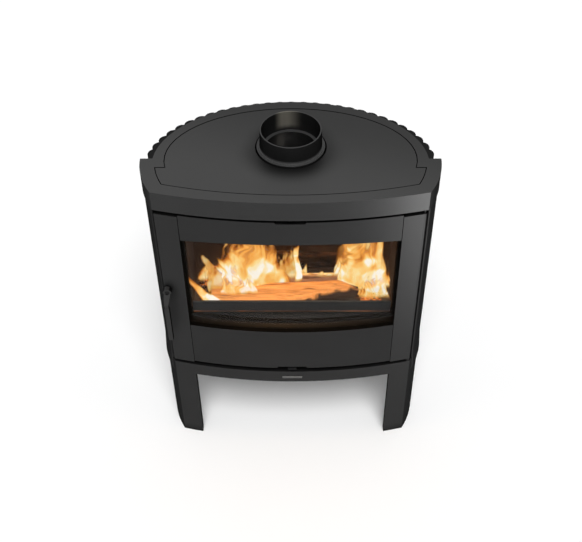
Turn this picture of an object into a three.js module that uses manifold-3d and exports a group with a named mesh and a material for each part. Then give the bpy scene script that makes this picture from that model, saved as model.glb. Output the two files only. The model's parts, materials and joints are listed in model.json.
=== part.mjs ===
// Cast-iron wood stove with a D-shaped plan: bowed glass door in front, fluted half-round back,
// flat top with a flue collar, and an open space under the body between the legs.
// Millimetres, +Z up, front towards -Y. Plan curves are drawn about the flue axis, and the whole
// stove is then moved along Y, so that its origin is the middle of its footprint on the floor.
import * as THREE from 'three';
import { mergeVertices } from 'three/addons/utils/BufferGeometryUtils.js';
import Module from 'manifold-3d';

const wasm = await Module();
wasm.setup();

// ---- fits ----
const seatGap = 0.3;            // left between pieces that rest on each other
const runGap = 0.3;             // round pins, spindles and screws
const overcut = 5;              // how far a cutting tool runs past the face that it cuts

// ---- facets ----
const arcSteps = 10;            // an arc gets twice as many facets as its steps
const topSteps = 16;            // the same on the wide plates of the top
const collarSides = 48;

// ---- plan of the stove ----
const openingHalf = 268;        // half width of the window and of the space between the legs
const stileWidth = 57.4;        // from the window out to the corner of the bowed front
const cornerX = openingHalf + stileWidth;
const earReach = 36.4;          // the flanks run outwards to the ears at their back ends
const earX = cornerX + earReach;
const earY = -48;
const frontY = -212.8;          // middle of the bowed front band
const frontRadius = 1367;
const cornerY = frontY + frontRadius - Math.sqrt(frontRadius ** 2 - cornerX ** 2);
const backCentreY = -60;        // centre of the half-oval back
const earStep = 29.3;           // the half-oval top is this much narrower, each side, than the ears
const backHalfWidth = earX - earStep;
const backDepth = 246;
const bodyInset = 2.7;          // legs and side panels stand this far inside the band

// ---- top ----
const topZ = 921;
const bandHeight = 53.8;
const bandBottomZ = topZ - bandHeight;
const bandWall = 14;
const frameThickness = 12;
const insertRimFront = 29.8;    // width of the frame round the inlaid plate, in front
const insertRimFlank = 36;
const insertRimSide = 28.5;
const insertRimBack = 29.5;
const insertFrontY = frontY + insertRimFront;
const insertFrontRadius = 1181;
const insertStepY = -82;        // the inlaid plate gets narrower behind this line
const insertBackCentreY = -45;
const insertBackHalfWidth = backHalfWidth - insertRimSide;
const insertBackDepth = backCentreY + backDepth - insertRimBack - insertBackCentreY;
const insertSeam = 2.4;         // open joint round the inlaid plate
const insertThickness = 6.5;
const insertDrop = 0.4;         // the inlaid plate lies this far below the frame
const insertLedge = 14;

// ---- flue collar ----
const collarRadius = 75;
const collarBaseRadius = 76.6;
const collarWall = 3.5;
const collarHeight = 51.5;
const collarRingRadius = 83.9;
const collarStepRadius = 80.4;
const collarRingHeight = 3.2;
const collarStepHeight = 5.8;
const collarLipDepth = 54;
const collarBore = 126;
const collarFlangeRadius = 98;
const collarFlange = 7;
const collarHoleGap = 3.6;      // dark gap between the collar and the inlaid plate

// ---- fluted back ----
const fluteCount = 29;
const fluteHeight = 7.2;
const valleySideStep = 13.3;    // from the edge of the top out to the valleys, at the sides
const valleyBackStep = 4;       // the same at the back
const shellInside = 0.6;        // the inside of the fluted back stands this far outside the top's edge
const fluteChords = 6;
const shellTopDrop = 6;
const shellStartY = -33;

// ---- legs, apron and base ----
const portalHeight = 312;
const apronHeight = 42;
const apronWall = 12;
const legWall = 20;
const legBackY = -70;
const panelOverlap = 50;        // the side panels reach this far down behind the legs' tops
const panelBottomZ = portalHeight - panelOverlap;
const baseThickness = 8;
const baseTopZ = panelBottomZ + baseThickness;
const baseOverhang = 3;
const rearLegWall = 13;
const rearLegFrom = 34;         // degrees round the half-oval back
const rearLegTo = 54;
const plaqueWidth = 54;
const plaqueHeight = 8;
const plaqueThickness = 1;
const plaqueDrop = 22;          // from the top of the apron down to the plaque's middle
const plaqueZ = portalHeight - plaqueDrop;

// ---- side panels ----
const panelWall = 8;
const panelSetback = 15.5;      // from the corner of the front back to the panels' front edges
const panelFrontY = cornerY + panelSetback;
const panelFrontStep = 1.6;
const panelFrontX = cornerX + panelFrontStep;
const panelBackY = earY;
const panelReturn = 8;          // thickness of the strip that turns inwards at the back
const panelReturnWidth = 30.8;
const panelReturnX = earX - panelReturnWidth;   // the fluted back starts behind this strip
const flareOut = 4;             // each panel swells outwards above its foot
const flareFoot = 0.5;          // what is left of the swell at the very bottom
const flareRise = 18;           // height of the fullest swell above the bottom
const flareTaper = 65;

// ---- door ----
const doorInset = 3;
const doorThickness = 13;
const doorTopGap = 14.2;
const doorTopZ = bandBottomZ - doorTopGap;
const doorBottomGap = 11;
const doorBottomZ = portalHeight + doorBottomGap;
const railStep = 5;             // the rails start higher and end higher than the stiles
const doorSeam = 1.6;
const topRailHeight = 75;
const bottomRailHeight = 151;
const windowBottomZ = doorBottomZ + bottomRailHeight;
const windowTopZ = doorTopZ - topRailHeight;
const windowArch = 9;           // rise of the window's top edge in the middle
const upperNotchHalf = 35;      // finger notch over the upper air slide
const upperNotchDepth = 4.5;
const lowerNotchHalf = 38;
const lowerNotchDepth = 6;
const notchSlope = 3;
const stileEdgeStep = 1.4;      // the door's free edge, inside the corner of the front
const stileEdgeX = cornerX - stileEdgeStep;
const hingeStep = 7.9;
const hingeX = cornerX - hingeStep;
const hingePinRadius = 3;
const hingePinDepth = 20;
const hingePinSeat = 13;
const spacerRadius = 6;

// ---- door's inner frame, glass and seals ----
const innerFrameMargin = 24;
const innerFrameHalf = openingHalf + innerFrameMargin;
const innerFrameDepth = 24;
const innerFrameTopStep = 5;
const innerFrameFootStep = 7;
const innerFrameTopZ = doorTopZ - innerFrameTopStep;
const innerFrameBottomZ = doorBottomZ + innerFrameFootStep;
const innerWindowMargin = 4;
const glassThickness = 4;
const glassMargin = 17;
const gasketThickness = 3.4;
const gasketWidth = 12;
const pocketDepth = 12;         // hollow in the back of the inner frame, below the glass
const pocketMargin = 26;
const sealThickness = 6.4;
const sealWidth = 12;
const sealSideMargin = 4;
const sealTopMargin = 6;
const sealFootMargin = 2;
const sealHalf = innerFrameHalf - sealSideMargin;
const sealTopZ = innerFrameTopZ - sealTopMargin;
const sealBottomZ = innerFrameBottomZ + sealFootMargin;
const screwRadius = 3;
const screwHeadRadius = 6;
const screwHeadHeight = 3.6;
const screwX = 200;
const screwLength = 32;
const lowerScrewDrop = 28;
const upperScrewRise = 33;
const lowerScrewZ = windowBottomZ - lowerScrewDrop;
const upperScrewZ = windowTopZ + upperScrewRise;

// ---- handle and latch ----
const handleStep = 47;          // from the window's edge to the spindle
const handleX = -openingHalf - handleStep;
const handleZ = 602;
const spindleRadius = 5;
const bushRadius = 8;
const bushProud = 1.5;
const hubRadius = 11;
const hubLength = 13;
const gripAside = 3;
const gripX = handleX - gripAside;
const gripY = -205;
const gripWidth = 15;
const gripThickness = 13;
const gripDrop = 36;
const gripTopZ = handleZ - gripDrop;
const gripLength = 123;
const gripRound = 4;
const leverNeckWidth = 11;      // square neck that stands on the grip
const leverNeckHeight = 8;
const leverKneeHeight = 20;     // the lever bends back towards the spindle above its neck
const leverKneeBack = 12;
const leverKneeWidth = 16;
const leverThickness = 12;
const leverHubWidth = 19;
const leverRound = 2;
const tangRadius = 3.5;
const tangLength = 40;
const camThickness = 6;
const camReach = 20;
const camWidth = 12;
const camHubRadius = 9;
const nutRadius = 8;
const nutThickness = 6;
const keeperWidth = 16;
const keeperHeight = 24;

// ---- firebox ----
const boxMargin = 22;
const boxHalf = openingHalf + boxMargin;
const boxCutWidth = 90;         // size of the two cut corners at the back
const boxBackHalf = boxHalf - boxCutWidth;
const boxBackGap = 76;          // air space from the firebox back to the edge of the top
const boxBackY = backCentreY + backDepth - boxBackGap;
const boxWall = 5;
const standHeight = 75;
const boxBottomZ = baseTopZ + standHeight;
const boxTopDrop = 71;
const boxTopZ = topZ - boxTopDrop;
const boxFloorThickness = 12;
const hearthDrop = 4;           // the hearth lies this far below the window
const hearthZ = windowBottomZ - hearthDrop;
const frontFrameInset = 47;
const frontFrameThickness = 8;
const frontFrameReach = 6.6;
const frontFrameHalf = cornerX + frontFrameReach;
const frontFrameTopStep = 4;
const frontFrameTopZ = boxTopZ + frontFrameTopStep;
const fireOpeningMargin = 3;
const fireOpeningHalf = openingHalf - fireOpeningMargin;
const fireOpeningTopStep = 22;
const fireOpeningTopZ = windowTopZ + fireOpeningTopStep;
const ashOpeningHalf = 185;
const ashOpeningHeight = 92;
const brickThickness = 20;
const hearthPlate = 7.7;
const hearthFrontY = -112;
const grateHalf = 125;
const grateFrontY = -85;
const grateBackY = 45;
const grateRest = 15;
const grateSlots = 9;
const grateSlotWidth = 10;
const baffleRise = 2;
const baffleZ = windowTopZ + baffleRise;
const baffleThickness = 20;
const baffleFrontY = -58;
const retainerMargin = 6;
const retainerHalf = openingHalf - retainerMargin;
const retainerY = -131;
const retainerThickness = 6;
const retainerHeight = 38.3;
const standInset = 90;
const standX = boxHalf - standInset;
const standWidth = 40;
const standWall = 4;
const standFrontY = -110;
const standBackGap = 40;
const standBackY = boxBackY - standBackGap;
const panSideGap = 15;
const panHalf = ashOpeningHalf - panSideGap;
const panFrontY = -138;
const panBackGap = 35;
const panBackY = boxBackY - panBackGap;
const panHeight = 70;
const panWall = 2;
const panPullHalf = 40;
const panPullReach = 11;
const panPullThickness = 5;
const panPullZ = 45;

// ---- firewood ----
const frontLogLength = 398;
const frontLogWidth = 62;
const frontLogHeight = 44;
const frontLogX = -20;
const frontLogY = -80;
const middleLogLength = 370;
const middleLogWidth = 54;
const middleLogHeight = 50;
const middleLogX = -18;
const middleLogY = -14;
const backLogLength = 340;
const backLogWidth = 48;
const backLogHeight = 44;
const backLogX = 25;
const backLogY = 52;
const logFacets = 14;
const logFlat = 0.8;            // how far down the round of a log is cut flat, as a share of its radius

// ---- air slides ----
const slideHalf = 75;
const slideDepth = 16;
const slideThickness = 4;
const slideTravel = 25;
const slideTabHalf = 12;
const slideTabFrontY = -204;
const slideGuideMargin = 4;
const guideLip = 4.7;
const guideBase = 5;
const guideWall = 3;
const slideTabGap = 1.5;        // left beside the tab at the end of its travel
const slideApronGap = 1.3;      // height of the lower slide above the apron
const upperSlideBackY = -158;

// ---- finishes ----
const finishes = {
  castIron: { color: 0x3b3b3b, roughness: 0.55, metalness: 0.35 },
  castIronTop: { color: 0x464645, roughness: 0.6, metalness: 0.3 },
  enamelBlack: { color: 0x161616, roughness: 0.4, metalness: 0.3 },
  steel: { color: 0x6d6d6b, roughness: 0.4, metalness: 0.8 },
  sheetSteel: { color: 0x2b2b2c, roughness: 0.5, metalness: 0.6 },
  firebrick: { color: 0x9a8566, roughness: 0.95, metalness: 0 },
  rope: { color: 0x2a2825, roughness: 1, metalness: 0 },
  glass: { color: 0x2a2018, roughness: 0.05, metalness: 0, transparent: true, opacity: 0.3 },
  splitWood: { color: 0xc2672f, roughness: 0.85, metalness: 0 },
  charredWood: { color: 0x5c4436, roughness: 0.95, metalness: 0 },
};

// ---------------------------------------------------------------- solids

function toSolid(geometry) {
  geometry.deleteAttribute('normal');
  geometry.deleteAttribute('uv');
  const merged = mergeVertices(geometry, 1e-4);
  return new wasm.Manifold(new wasm.Mesh({
    numProp: 3,
    vertProperties: new Float32Array(merged.attributes.position.array),
    triVerts: new Uint32Array(merged.index.array),
  }));
}

function toGeometry(solid) {
  const mesh = solid.getMesh();
  const geometry = new THREE.BufferGeometry();
  geometry.setAttribute('position', new THREE.BufferAttribute(new Float32Array(mesh.vertProperties), 3));
  geometry.setIndex(new THREE.BufferAttribute(new Uint32Array(mesh.triVerts), 1));
  geometry.computeVertexNormals();
  return geometry;
}

function cut(solid, ...tools) {
  return tools.reduce((left, tool) => left.subtract(tool), solid);
}

function join(solid, ...others) {
  return others.reduce((whole, other) => whole.add(other), solid);
}

// Points of a shape without the doubled ones that arcs leave where they meet.
function outlinePoints(shape, steps) {
  const points = shape.getPoints(steps);
  return points.filter((point, i) => point.distanceTo(points.at(i - 1)) > 0.01);
}

// A plan outline pulled up from z0 to z1. side -1 mirrors it to the left of the stove.
function prism(shape, z0, z1, side = 1, steps = arcSteps) {
  const points = outlinePoints(shape, steps).map((p) => new THREE.Vector2(p.x * side, p.y));
  const geometry = new THREE.ExtrudeGeometry(new THREE.Shape(points), { depth: z1 - z0, bevelEnabled: false });
  geometry.translate(0, 0, z0);
  return toSolid(geometry);
}

// An outline drawn in X and Z, pushed from y0 back to y1.
function frontPrism(shape, y0, y1, steps = arcSteps) {
  const points = outlinePoints(shape, steps);
  const geometry = new THREE.ExtrudeGeometry(new THREE.Shape(points), { depth: y1 - y0, bevelEnabled: false });
  geometry.rotateX(Math.PI / 2);
  geometry.translate(0, y1, 0);
  return toSolid(geometry);
}

function box(x0, x1, y0, y1, z0, z1) {
  const geometry = new THREE.BoxGeometry(x1 - x0, y1 - y0, z1 - z0);
  geometry.translate((x0 + x1) / 2, (y0 + y1) / 2, (z0 + z1) / 2);
  return toSolid(geometry);
}

function uprightRod(x, y, radius, z0, z1, sides = 24) {
  const geometry = new THREE.CylinderGeometry(radius, radius, z1 - z0, sides);
  geometry.rotateX(Math.PI / 2);
  geometry.translate(x, y, (z0 + z1) / 2);
  return toSolid(geometry);
}

function frontRod(x, z, radius, y0, y1, sides = 24) {
  const geometry = new THREE.CylinderGeometry(radius, radius, y1 - y0, sides);
  geometry.translate(x, (y0 + y1) / 2, z);
  return toSolid(geometry);
}

// A stack of outlines with the same number of points, skinned from the first level to the last.
function loftGeometry(levels) {
  const count = levels[0].points.length;
  const corners = levels.flatMap(({ points, z }) => points.map((p) => [p.x, p.y, z]));
  const faces = [];
  for (let level = 0; level < levels.length - 1; level += 1) {
    for (let i = 0; i < count; i += 1) {
      const low = level * count + i;
      const lowNext = level * count + (i + 1) % count;
      faces.push([low, lowNext, lowNext + count], [low, lowNext + count, low + count]);
    }
  }
  const lastLevel = (levels.length - 1) * count;
  THREE.ShapeUtils.triangulateShape(levels[0].points, []).forEach(([a, b, c]) => {
    faces.push([c, b, a]);
  });
  THREE.ShapeUtils.triangulateShape(levels.at(-1).points, []).forEach(([a, b, c]) => {
    faces.push([lastLevel + a, lastLevel + b, lastLevel + c]);
  });
  const geometry = new THREE.BufferGeometry();
  geometry.setAttribute('position', new THREE.Float32BufferAttribute(corners.flat(), 3));
  geometry.setIndex(faces.flat());
  return geometry;
}

// Rectangle with rounded corners about (x, y), counter-clockwise.
function roundedRect(x, y, halfX, halfY, radius) {
  const turns = [0, 0.5, 1, 1.5];
  return turns.flatMap((turn) => [0, 0.25, 0.5].map((part) => {
    const angle = (turn + part) * Math.PI;
    const roundX = x + Math.sign(Math.cos((turn + 0.25) * Math.PI)) * (halfX - radius);
    const roundY = y + Math.sign(Math.sin((turn + 0.25) * Math.PI)) * (halfY - radius);
    return new THREE.Vector2(roundX + radius * Math.cos(angle), roundY + radius * Math.sin(angle));
  }));
}

// ---------------------------------------------------------------- plan curves

const bowCentreY = frontY + frontRadius;

function bowY(x, inset) {
  return bowCentreY - Math.sqrt((frontRadius - inset) ** 2 - x * x);
}

// Right-hand crossing of a circle about (0, y) with a circle about (x, earY).
function crossing(y, radius, x, otherRadius) {
  const reach = Math.hypot(x, earY - y);
  const along = (radius ** 2 - otherRadius ** 2 + reach ** 2) / (2 * reach);
  const aside = Math.sqrt(radius ** 2 - along ** 2);
  const unit = new THREE.Vector2(x, earY - y).divideScalar(reach);
  return new THREE.Vector2(unit.x * along - unit.y * aside, y + unit.y * along + unit.x * aside);
}

const flankRadius = ((earX - cornerX) ** 2 + (earY - cornerY) ** 2) / (2 * (earX - cornerX));
const flankCentreX = earX - flankRadius;

function bowCurve(shape, fromX, toX, inset) {
  const radius = frontRadius - inset;
  const from = Math.asin(fromX / radius) - Math.PI / 2;
  const to = Math.asin(toX / radius) - Math.PI / 2;
  shape.absarc(0, bowCentreY, radius, from, to, toX < fromX);
}

function flankCurve(shape, fromY, toY, inset, side = 1) {
  const radius = flankRadius - inset;
  const angle = (y) => (side > 0 ? Math.asin((y - earY) / radius) : Math.PI - Math.asin((y - earY) / radius));
  shape.absarc(side * flankCentreX, earY, radius, angle(fromY), angle(toY), (toY < fromY) === (side > 0));
}

function backCurve(shape, halfWidth, depth, fromY, centreY = backCentreY) {
  const start = Math.asin((fromY - centreY) / depth);
  shape.absellipse(0, centreY, halfWidth, depth, start, Math.PI - start, false, 0);
}

// Everything between the bowed front, the two flanks and a straight line across at backY.
function frontRegion(bowInset, flankInset, backY) {
  const corner = crossing(bowCentreY, frontRadius - bowInset, flankCentreX, flankRadius - flankInset);
  const shape = new THREE.Shape();
  bowCurve(shape, -corner.x, corner.x, bowInset);
  flankCurve(shape, corner.y, backY, flankInset);
  flankCurve(shape, backY, corner.y, flankInset, -1);
  return shape;
}

// A plate bowed like the front, between two insets.
function bowedPlate(x0, x1, insetFront, insetBack, z0, z1) {
  const shape = new THREE.Shape();
  bowCurve(shape, x0, x1, insetFront);
  bowCurve(shape, x1, x0, insetBack);
  return prism(shape, z0, z1);
}

function bowedRing(half, inner, insetFront, insetBack, z0, z1, innerZ0, innerZ1) {
  const plate = bowedPlate(-half, half, insetFront, insetBack, z0, z1);
  return cut(plate, box(-inner, inner, frontY - overcut, earY, innerZ0, innerZ1));
}

// ---------------------------------------------------------------- scene helpers

const stove = new THREE.Group();
const body = new THREE.Group();
const door = new THREE.Group();
const handle = new THREE.Group();
const slides = new THREE.Group();
stove.add(body, door, handle, slides);

function place(group, name, solid, finish) {
  const mesh = new THREE.Mesh(toGeometry(solid), new THREE.MeshStandardMaterial(finishes[finish]));
  mesh.name = name;
  group.add(mesh);
}

// ---------------------------------------------------------------- top and flue collar

const hingeInset = doorInset + doorThickness / 2;
const hingeY = bowY(hingeX, hingeInset);

function insertOutline(grow) {
  const centreY = insertFrontY + insertFrontRadius;
  const radius = insertFrontRadius + grow;
  const corner = crossing(centreY, radius, flankCentreX, flankRadius - insertRimFlank + grow);
  const halfAngle = Math.asin(corner.x / radius);
  const shape = new THREE.Shape();
  shape.absarc(0, centreY, radius, -Math.PI / 2 - halfAngle, -Math.PI / 2 + halfAngle, false);
  flankCurve(shape, corner.y, insertStepY + grow, insertRimFlank - grow);
  backCurve(shape, insertBackHalfWidth + grow, insertBackDepth + grow, insertStepY + grow, insertBackCentreY);
  flankCurve(shape, insertStepY + grow, corner.y, insertRimFlank - grow, -1);
  return shape;
}

function topFrame() {
  const outline = new THREE.Shape();
  bowCurve(outline, -cornerX, cornerX, 0);
  flankCurve(outline, cornerY, earY, 0);
  backCurve(outline, backHalfWidth, backDepth, earY);
  flankCurve(outline, earY, cornerY, 0, -1);
  const plate = prism(outline, topZ - frameThickness, topZ, 1, topSteps);
  const earInnerX = backHalfWidth * Math.sqrt(1 - ((earY - backCentreY) / backDepth) ** 2);
  const band = cut(
    prism(frontRegion(0, 0, earY), bandBottomZ, topZ - frameThickness / 2, 1, topSteps),
    prism(frontRegion(bandWall, bandWall, earY - bandWall), bandBottomZ - overcut, topZ),
    box(-earInnerX, earInnerX, earY - bandWall - overcut, earY + overcut, bandBottomZ - overcut, topZ),
  );
  const seatZ = topZ - insertDrop - insertThickness - seatGap;
  const recess = prism(insertOutline(insertSeam / 2), seatZ, topZ + overcut, 1, topSteps);
  const opening = prism(insertOutline(-insertLedge), topZ - frameThickness - overcut, topZ);
  const pinHole = uprightRod(hingeX, hingeY, hingePinRadius + runGap, bandBottomZ - overcut,
    bandBottomZ + hingePinSeat + seatGap);
  return cut(join(plate, band), recess, opening, pinHole);
}

function topInsert() {
  const insertTopZ = topZ - insertDrop;
  const plate = prism(insertOutline(-insertSeam / 2), insertTopZ - insertThickness, insertTopZ, 1, topSteps);
  const holeRadius = collarRingRadius + collarHoleGap;
  return cut(plate, uprightRod(0, 0, holeRadius, bandBottomZ, topZ + overcut, collarSides));
}

function flueCollar() {
  const rimZ = topZ + collarHeight;
  const footZ = boxTopZ + seatGap;
  const profile = [
    [collarBore / 2, footZ],
    [collarFlangeRadius, footZ],
    [collarFlangeRadius, footZ + collarFlange],
    [collarBaseRadius, footZ + collarFlange],
    [collarBaseRadius, topZ - insertThickness],
    [collarRingRadius, topZ - insertThickness],
    [collarRingRadius, topZ + collarRingHeight],
    [collarStepRadius, topZ + collarRingHeight],
    [collarStepRadius, topZ + collarStepHeight],
    [collarBaseRadius, topZ + collarStepHeight],
    [collarRadius, rimZ],
    [collarRadius - collarWall, rimZ],
    [collarRadius - collarWall, rimZ - collarLipDepth],
    [collarBore / 2, rimZ - collarLipDepth],
    [collarBore / 2, footZ],
  ];
  const geometry = new THREE.LatheGeometry(profile.map(([r, z]) => new THREE.Vector2(r, z)), collarSides);
  geometry.rotateX(Math.PI / 2);
  return toSolid(geometry);
}

place(body, 'top_frame', topFrame(), 'castIronTop');
place(body, 'top_plate', topInsert(), 'castIronTop');
place(body, 'flue_collar', flueCollar(), 'enamelBlack');

// ---------------------------------------------------------------- outer casing

const valleyHalfWidth = backHalfWidth + valleySideStep;
const valleyDepth = backDepth + valleyBackStep;

// Valleys at equal steps along the half-oval, with a round flute bulging out between each pair.
function flutedPoints() {
  const start = Math.asin((shellStartY - backCentreY) / valleyDepth);
  const oval = new THREE.EllipseCurve(0, backCentreY, valleyHalfWidth, valleyDepth, start, Math.PI - start);
  const valleys = oval.getSpacedPoints(fluteCount);
  const points = [];
  for (let i = 0; i < fluteCount; i += 1) {
    const chord = valleys[i + 1].clone().sub(valleys[i]);
    const half = chord.length() / 2;
    const radius = (half ** 2 + fluteHeight ** 2) / (2 * fluteHeight);
    const outward = new THREE.Vector2(chord.y, -chord.x).normalize();
    for (let step = 0; step < fluteChords; step += 1) {
      const along = step / fluteChords;
      const aside = half * (2 * along - 1);
      const bulge = Math.sqrt(radius ** 2 - aside ** 2) - (radius - fluteHeight);
      points.push(valleys[i].clone().addScaledVector(chord, along).addScaledVector(outward, bulge));
    }
  }
  points.push(valleys[fluteCount]);
  return points;
}

function backShell() {
  const outer = flutedPoints();
  const endX = outer[0].x;
  const seatY = panelBackY + seatGap;
  const inner = new THREE.Shape();
  backCurve(inner, backHalfWidth + shellInside, backDepth + shellInside, seatY);
  const points = [
    new THREE.Vector2(endX, seatY),
    ...outer,
    new THREE.Vector2(-endX, seatY),
    ...inner.getPoints(24).reverse(),
  ];
  return prism(new THREE.Shape(points), baseTopZ + seatGap, topZ - shellTopDrop);
}

// Plan of a side panel: a strip along the flank that turns inwards at its back end.
function panelOutline(swell) {
  const outerInset = bodyInset - swell;
  const innerInset = bodyInset + panelWall;
  const turnY = panelBackY - panelReturn;
  const innerStart = earY - Math.sqrt((flankRadius - innerInset) ** 2 - (panelFrontX - flankCentreX) ** 2);
  const shape = new THREE.Shape();
  flankCurve(shape, panelFrontY, panelBackY, outerInset);
  shape.lineTo(panelReturnX, panelBackY);
  shape.lineTo(panelReturnX, turnY);
  flankCurve(shape, turnY, innerStart, innerInset);
  shape.lineTo(panelFrontX, panelFrontY);
  return shape;
}

function sidePanel(side) {
  const level = (swell, z) => {
    const points = outlinePoints(panelOutline(swell), arcSteps);
    if (side < 0) points.reverse();
    return { z, points: points.map((p) => new THREE.Vector2(p.x * side, p.y)) };
  };
  return toSolid(loftGeometry([
    level(flareFoot, panelBottomZ),
    level(flareFoot + (flareOut - flareFoot) * 0.75, panelBottomZ + flareRise / 2),
    level(flareOut, panelBottomZ + flareRise),
    level(0, panelBottomZ + flareRise + flareTaper),
    level(0, bandBottomZ - seatGap),
  ]));
}

// One casting: two front legs that wrap round the corners, joined by the apron.
function frontPortal() {
  const outer = prism(frontRegion(bodyInset, bodyInset, legBackY), 0, portalHeight);
  const innerInset = bodyInset + legWall;
  const inner = prism(frontRegion(innerInset, innerInset, legBackY + overcut), -overcut, portalHeight + overcut);
  const archway = box(-openingHalf, openingHalf, frontY - overcut, earY, -overcut, portalHeight - apronHeight);
  const apronBack = bowedPlate(-openingHalf, openingHalf, bodyInset + apronWall, innerInset + overcut,
    -overcut, portalHeight + overcut);
  const panelSeatY = panelFrontY - seatGap;
  const panelSeat = box(-earX, earX, panelSeatY, earY, panelBottomZ - seatGap, portalHeight + overcut);
  const pinHole = uprightRod(hingeX, hingeY, hingePinRadius + runGap,
    portalHeight - hingePinSeat - seatGap, portalHeight + overcut);
  return cut(outer, inner, archway, apronBack, panelSeat, pinHole);
}

function rearLegOutline() {
  const turn = Math.PI / 180;
  const shape = new THREE.Shape();
  shape.absellipse(0, backCentreY, valleyHalfWidth, valleyDepth, rearLegFrom * turn, rearLegTo * turn, false, 0);
  shape.absellipse(0, backCentreY, valleyHalfWidth - rearLegWall, valleyDepth - rearLegWall,
    rearLegTo * turn, rearLegFrom * turn, true, 0);
  return shape;
}

function basePlate() {
  const bowInset = bodyInset + legWall + seatGap;
  const flankInset = bodyInset + panelWall + seatGap;
  const turnY = panelBackY - panelReturn - seatGap;
  const corner = crossing(bowCentreY, frontRadius - bowInset, flankCentreX, flankRadius - flankInset);
  const neckX = panelReturnX - seatGap;
  const shape = new THREE.Shape();
  bowCurve(shape, -corner.x, corner.x, bowInset);
  flankCurve(shape, corner.y, turnY, flankInset);
  shape.lineTo(neckX, turnY);
  shape.lineTo(neckX, panelBackY + seatGap);
  backCurve(shape, valleyHalfWidth + baseOverhang, valleyDepth + baseOverhang, panelBackY + seatGap);
  shape.lineTo(-neckX, panelBackY + seatGap);
  shape.lineTo(-neckX, turnY);
  flankCurve(shape, turnY, corner.y, flankInset, -1);
  return prism(shape, panelBottomZ, baseTopZ);
}

function apronPlaque() {
  const back = bodyInset - seatGap;
  return bowedPlate(-plaqueWidth / 2, plaqueWidth / 2, back - plaqueThickness, back,
    plaqueZ - plaqueHeight / 2, plaqueZ + plaqueHeight / 2);
}

place(body, 'back_shell', backShell(), 'castIron');
place(body, 'side_panel_right', sidePanel(1), 'castIron');
place(body, 'side_panel_left', sidePanel(-1), 'castIron');
place(body, 'front_portal', frontPortal(), 'castIron');
place(body, 'rear_leg_right', prism(rearLegOutline(), 0, panelBottomZ - seatGap), 'castIron');
place(body, 'rear_leg_left', prism(rearLegOutline(), 0, panelBottomZ - seatGap, -1), 'castIron');
place(body, 'base_plate', basePlate(), 'castIron');
place(body, 'apron_plaque', apronPlaque(), 'steel');

// ---------------------------------------------------------------- firebox

const boxFrontInset = frontFrameInset + frontFrameThickness + seatGap;
const ashFloorZ = boxBottomZ + boxWall;
const boxFloorZ = hearthZ - hearthPlate - seatGap;
const floorUnderZ = boxFloorZ - boxFloorThickness;

// Plan of the firebox, with its two back corners cut off, pulled in by the offset.
function boxOutline(offset, frontInset) {
  const shape = new THREE.Shape();
  const half = boxHalf - offset;
  const cornerShift = offset * (Math.SQRT2 - 1);
  bowCurve(shape, -half, half, frontInset);
  shape.lineTo(half, boxBackY - boxCutWidth - cornerShift);
  shape.lineTo(boxBackHalf - cornerShift, boxBackY - offset);
  shape.lineTo(cornerShift - boxBackHalf, boxBackY - offset);
  shape.lineTo(-half, boxBackY - boxCutWidth - cornerShift);
  return shape;
}

// Floor and walls of the firebox; its lid and the box for the ash pan are pieces of their own.
function fireboxShell() {
  return cut(
    prism(boxOutline(0, boxFrontInset), floorUnderZ, boxTopZ - boxWall - seatGap),
    prism(boxOutline(boxWall, boxFrontInset - overcut), boxFloorZ, boxTopZ),
    box(grateRest - grateHalf, grateHalf - grateRest, grateFrontY + grateRest, grateBackY - grateRest,
      floorUnderZ - overcut, hearthZ),
  );
}

function fireboxTop() {
  return cut(
    prism(boxOutline(0, boxFrontInset), boxTopZ - boxWall, boxTopZ),
    uprightRod(0, 0, collarBore / 2, boxTopZ - boxWall - overcut, boxTopZ + overcut, collarSides),
  );
}

function ashBox() {
  return cut(
    prism(boxOutline(0, boxFrontInset), boxBottomZ, floorUnderZ - seatGap),
    prism(boxOutline(boxWall, boxFrontInset - overcut), ashFloorZ, floorUnderZ),
  );
}

function fireboxFront() {
  const back = frontFrameInset + frontFrameThickness;
  const plate = bowedPlate(-frontFrameHalf, frontFrameHalf, frontFrameInset, back,
    baseTopZ + seatGap, frontFrameTopZ);
  return cut(
    plate,
    box(-fireOpeningHalf, fireOpeningHalf, frontY, earY, hearthZ, fireOpeningTopZ),
    box(-ashOpeningHalf, ashOpeningHalf, frontY, earY, ashFloorZ, ashFloorZ + ashOpeningHeight),
  );
}

function hearthPlateSolid(z0, z1) {
  const outline = boxOutline(boxWall + seatGap, boxFrontInset);
  const plate = cut(prism(outline, z0, z1), box(-boxHalf, boxHalf, frontY, hearthFrontY, z0 - 1, z1 + 1));
  return cut(plate, box(-grateHalf - seatGap, grateHalf + seatGap, grateFrontY - seatGap,
    grateBackY + seatGap, z0 - 1, z1 + 1));
}

function hearthSill() {
  const half = boxHalf - boxWall - seatGap;
  const shape = new THREE.Shape();
  bowCurve(shape, -half, half, boxFrontInset);
  shape.lineTo(half, hearthFrontY - seatGap);
  shape.lineTo(-half, hearthFrontY - seatGap);
  return prism(shape, boxFloorZ + seatGap, hearthZ);
}

function grate() {
  const plate = box(-grateHalf, grateHalf, grateFrontY, grateBackY, boxFloorZ + seatGap, hearthZ);
  const pitch = 2 * (grateHalf - grateRest) / grateSlots;
  const slots = Array.from({ length: grateSlots }, (_, i) => {
    const x = (i + 0.5) * pitch - (grateHalf - grateRest);
    return box(x - grateSlotWidth / 2, x + grateSlotWidth / 2, grateFrontY + grateRest,
      grateBackY - grateRest, boxFloorZ, hearthZ + overcut);
  });
  return cut(plate, ...slots);
}

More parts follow.
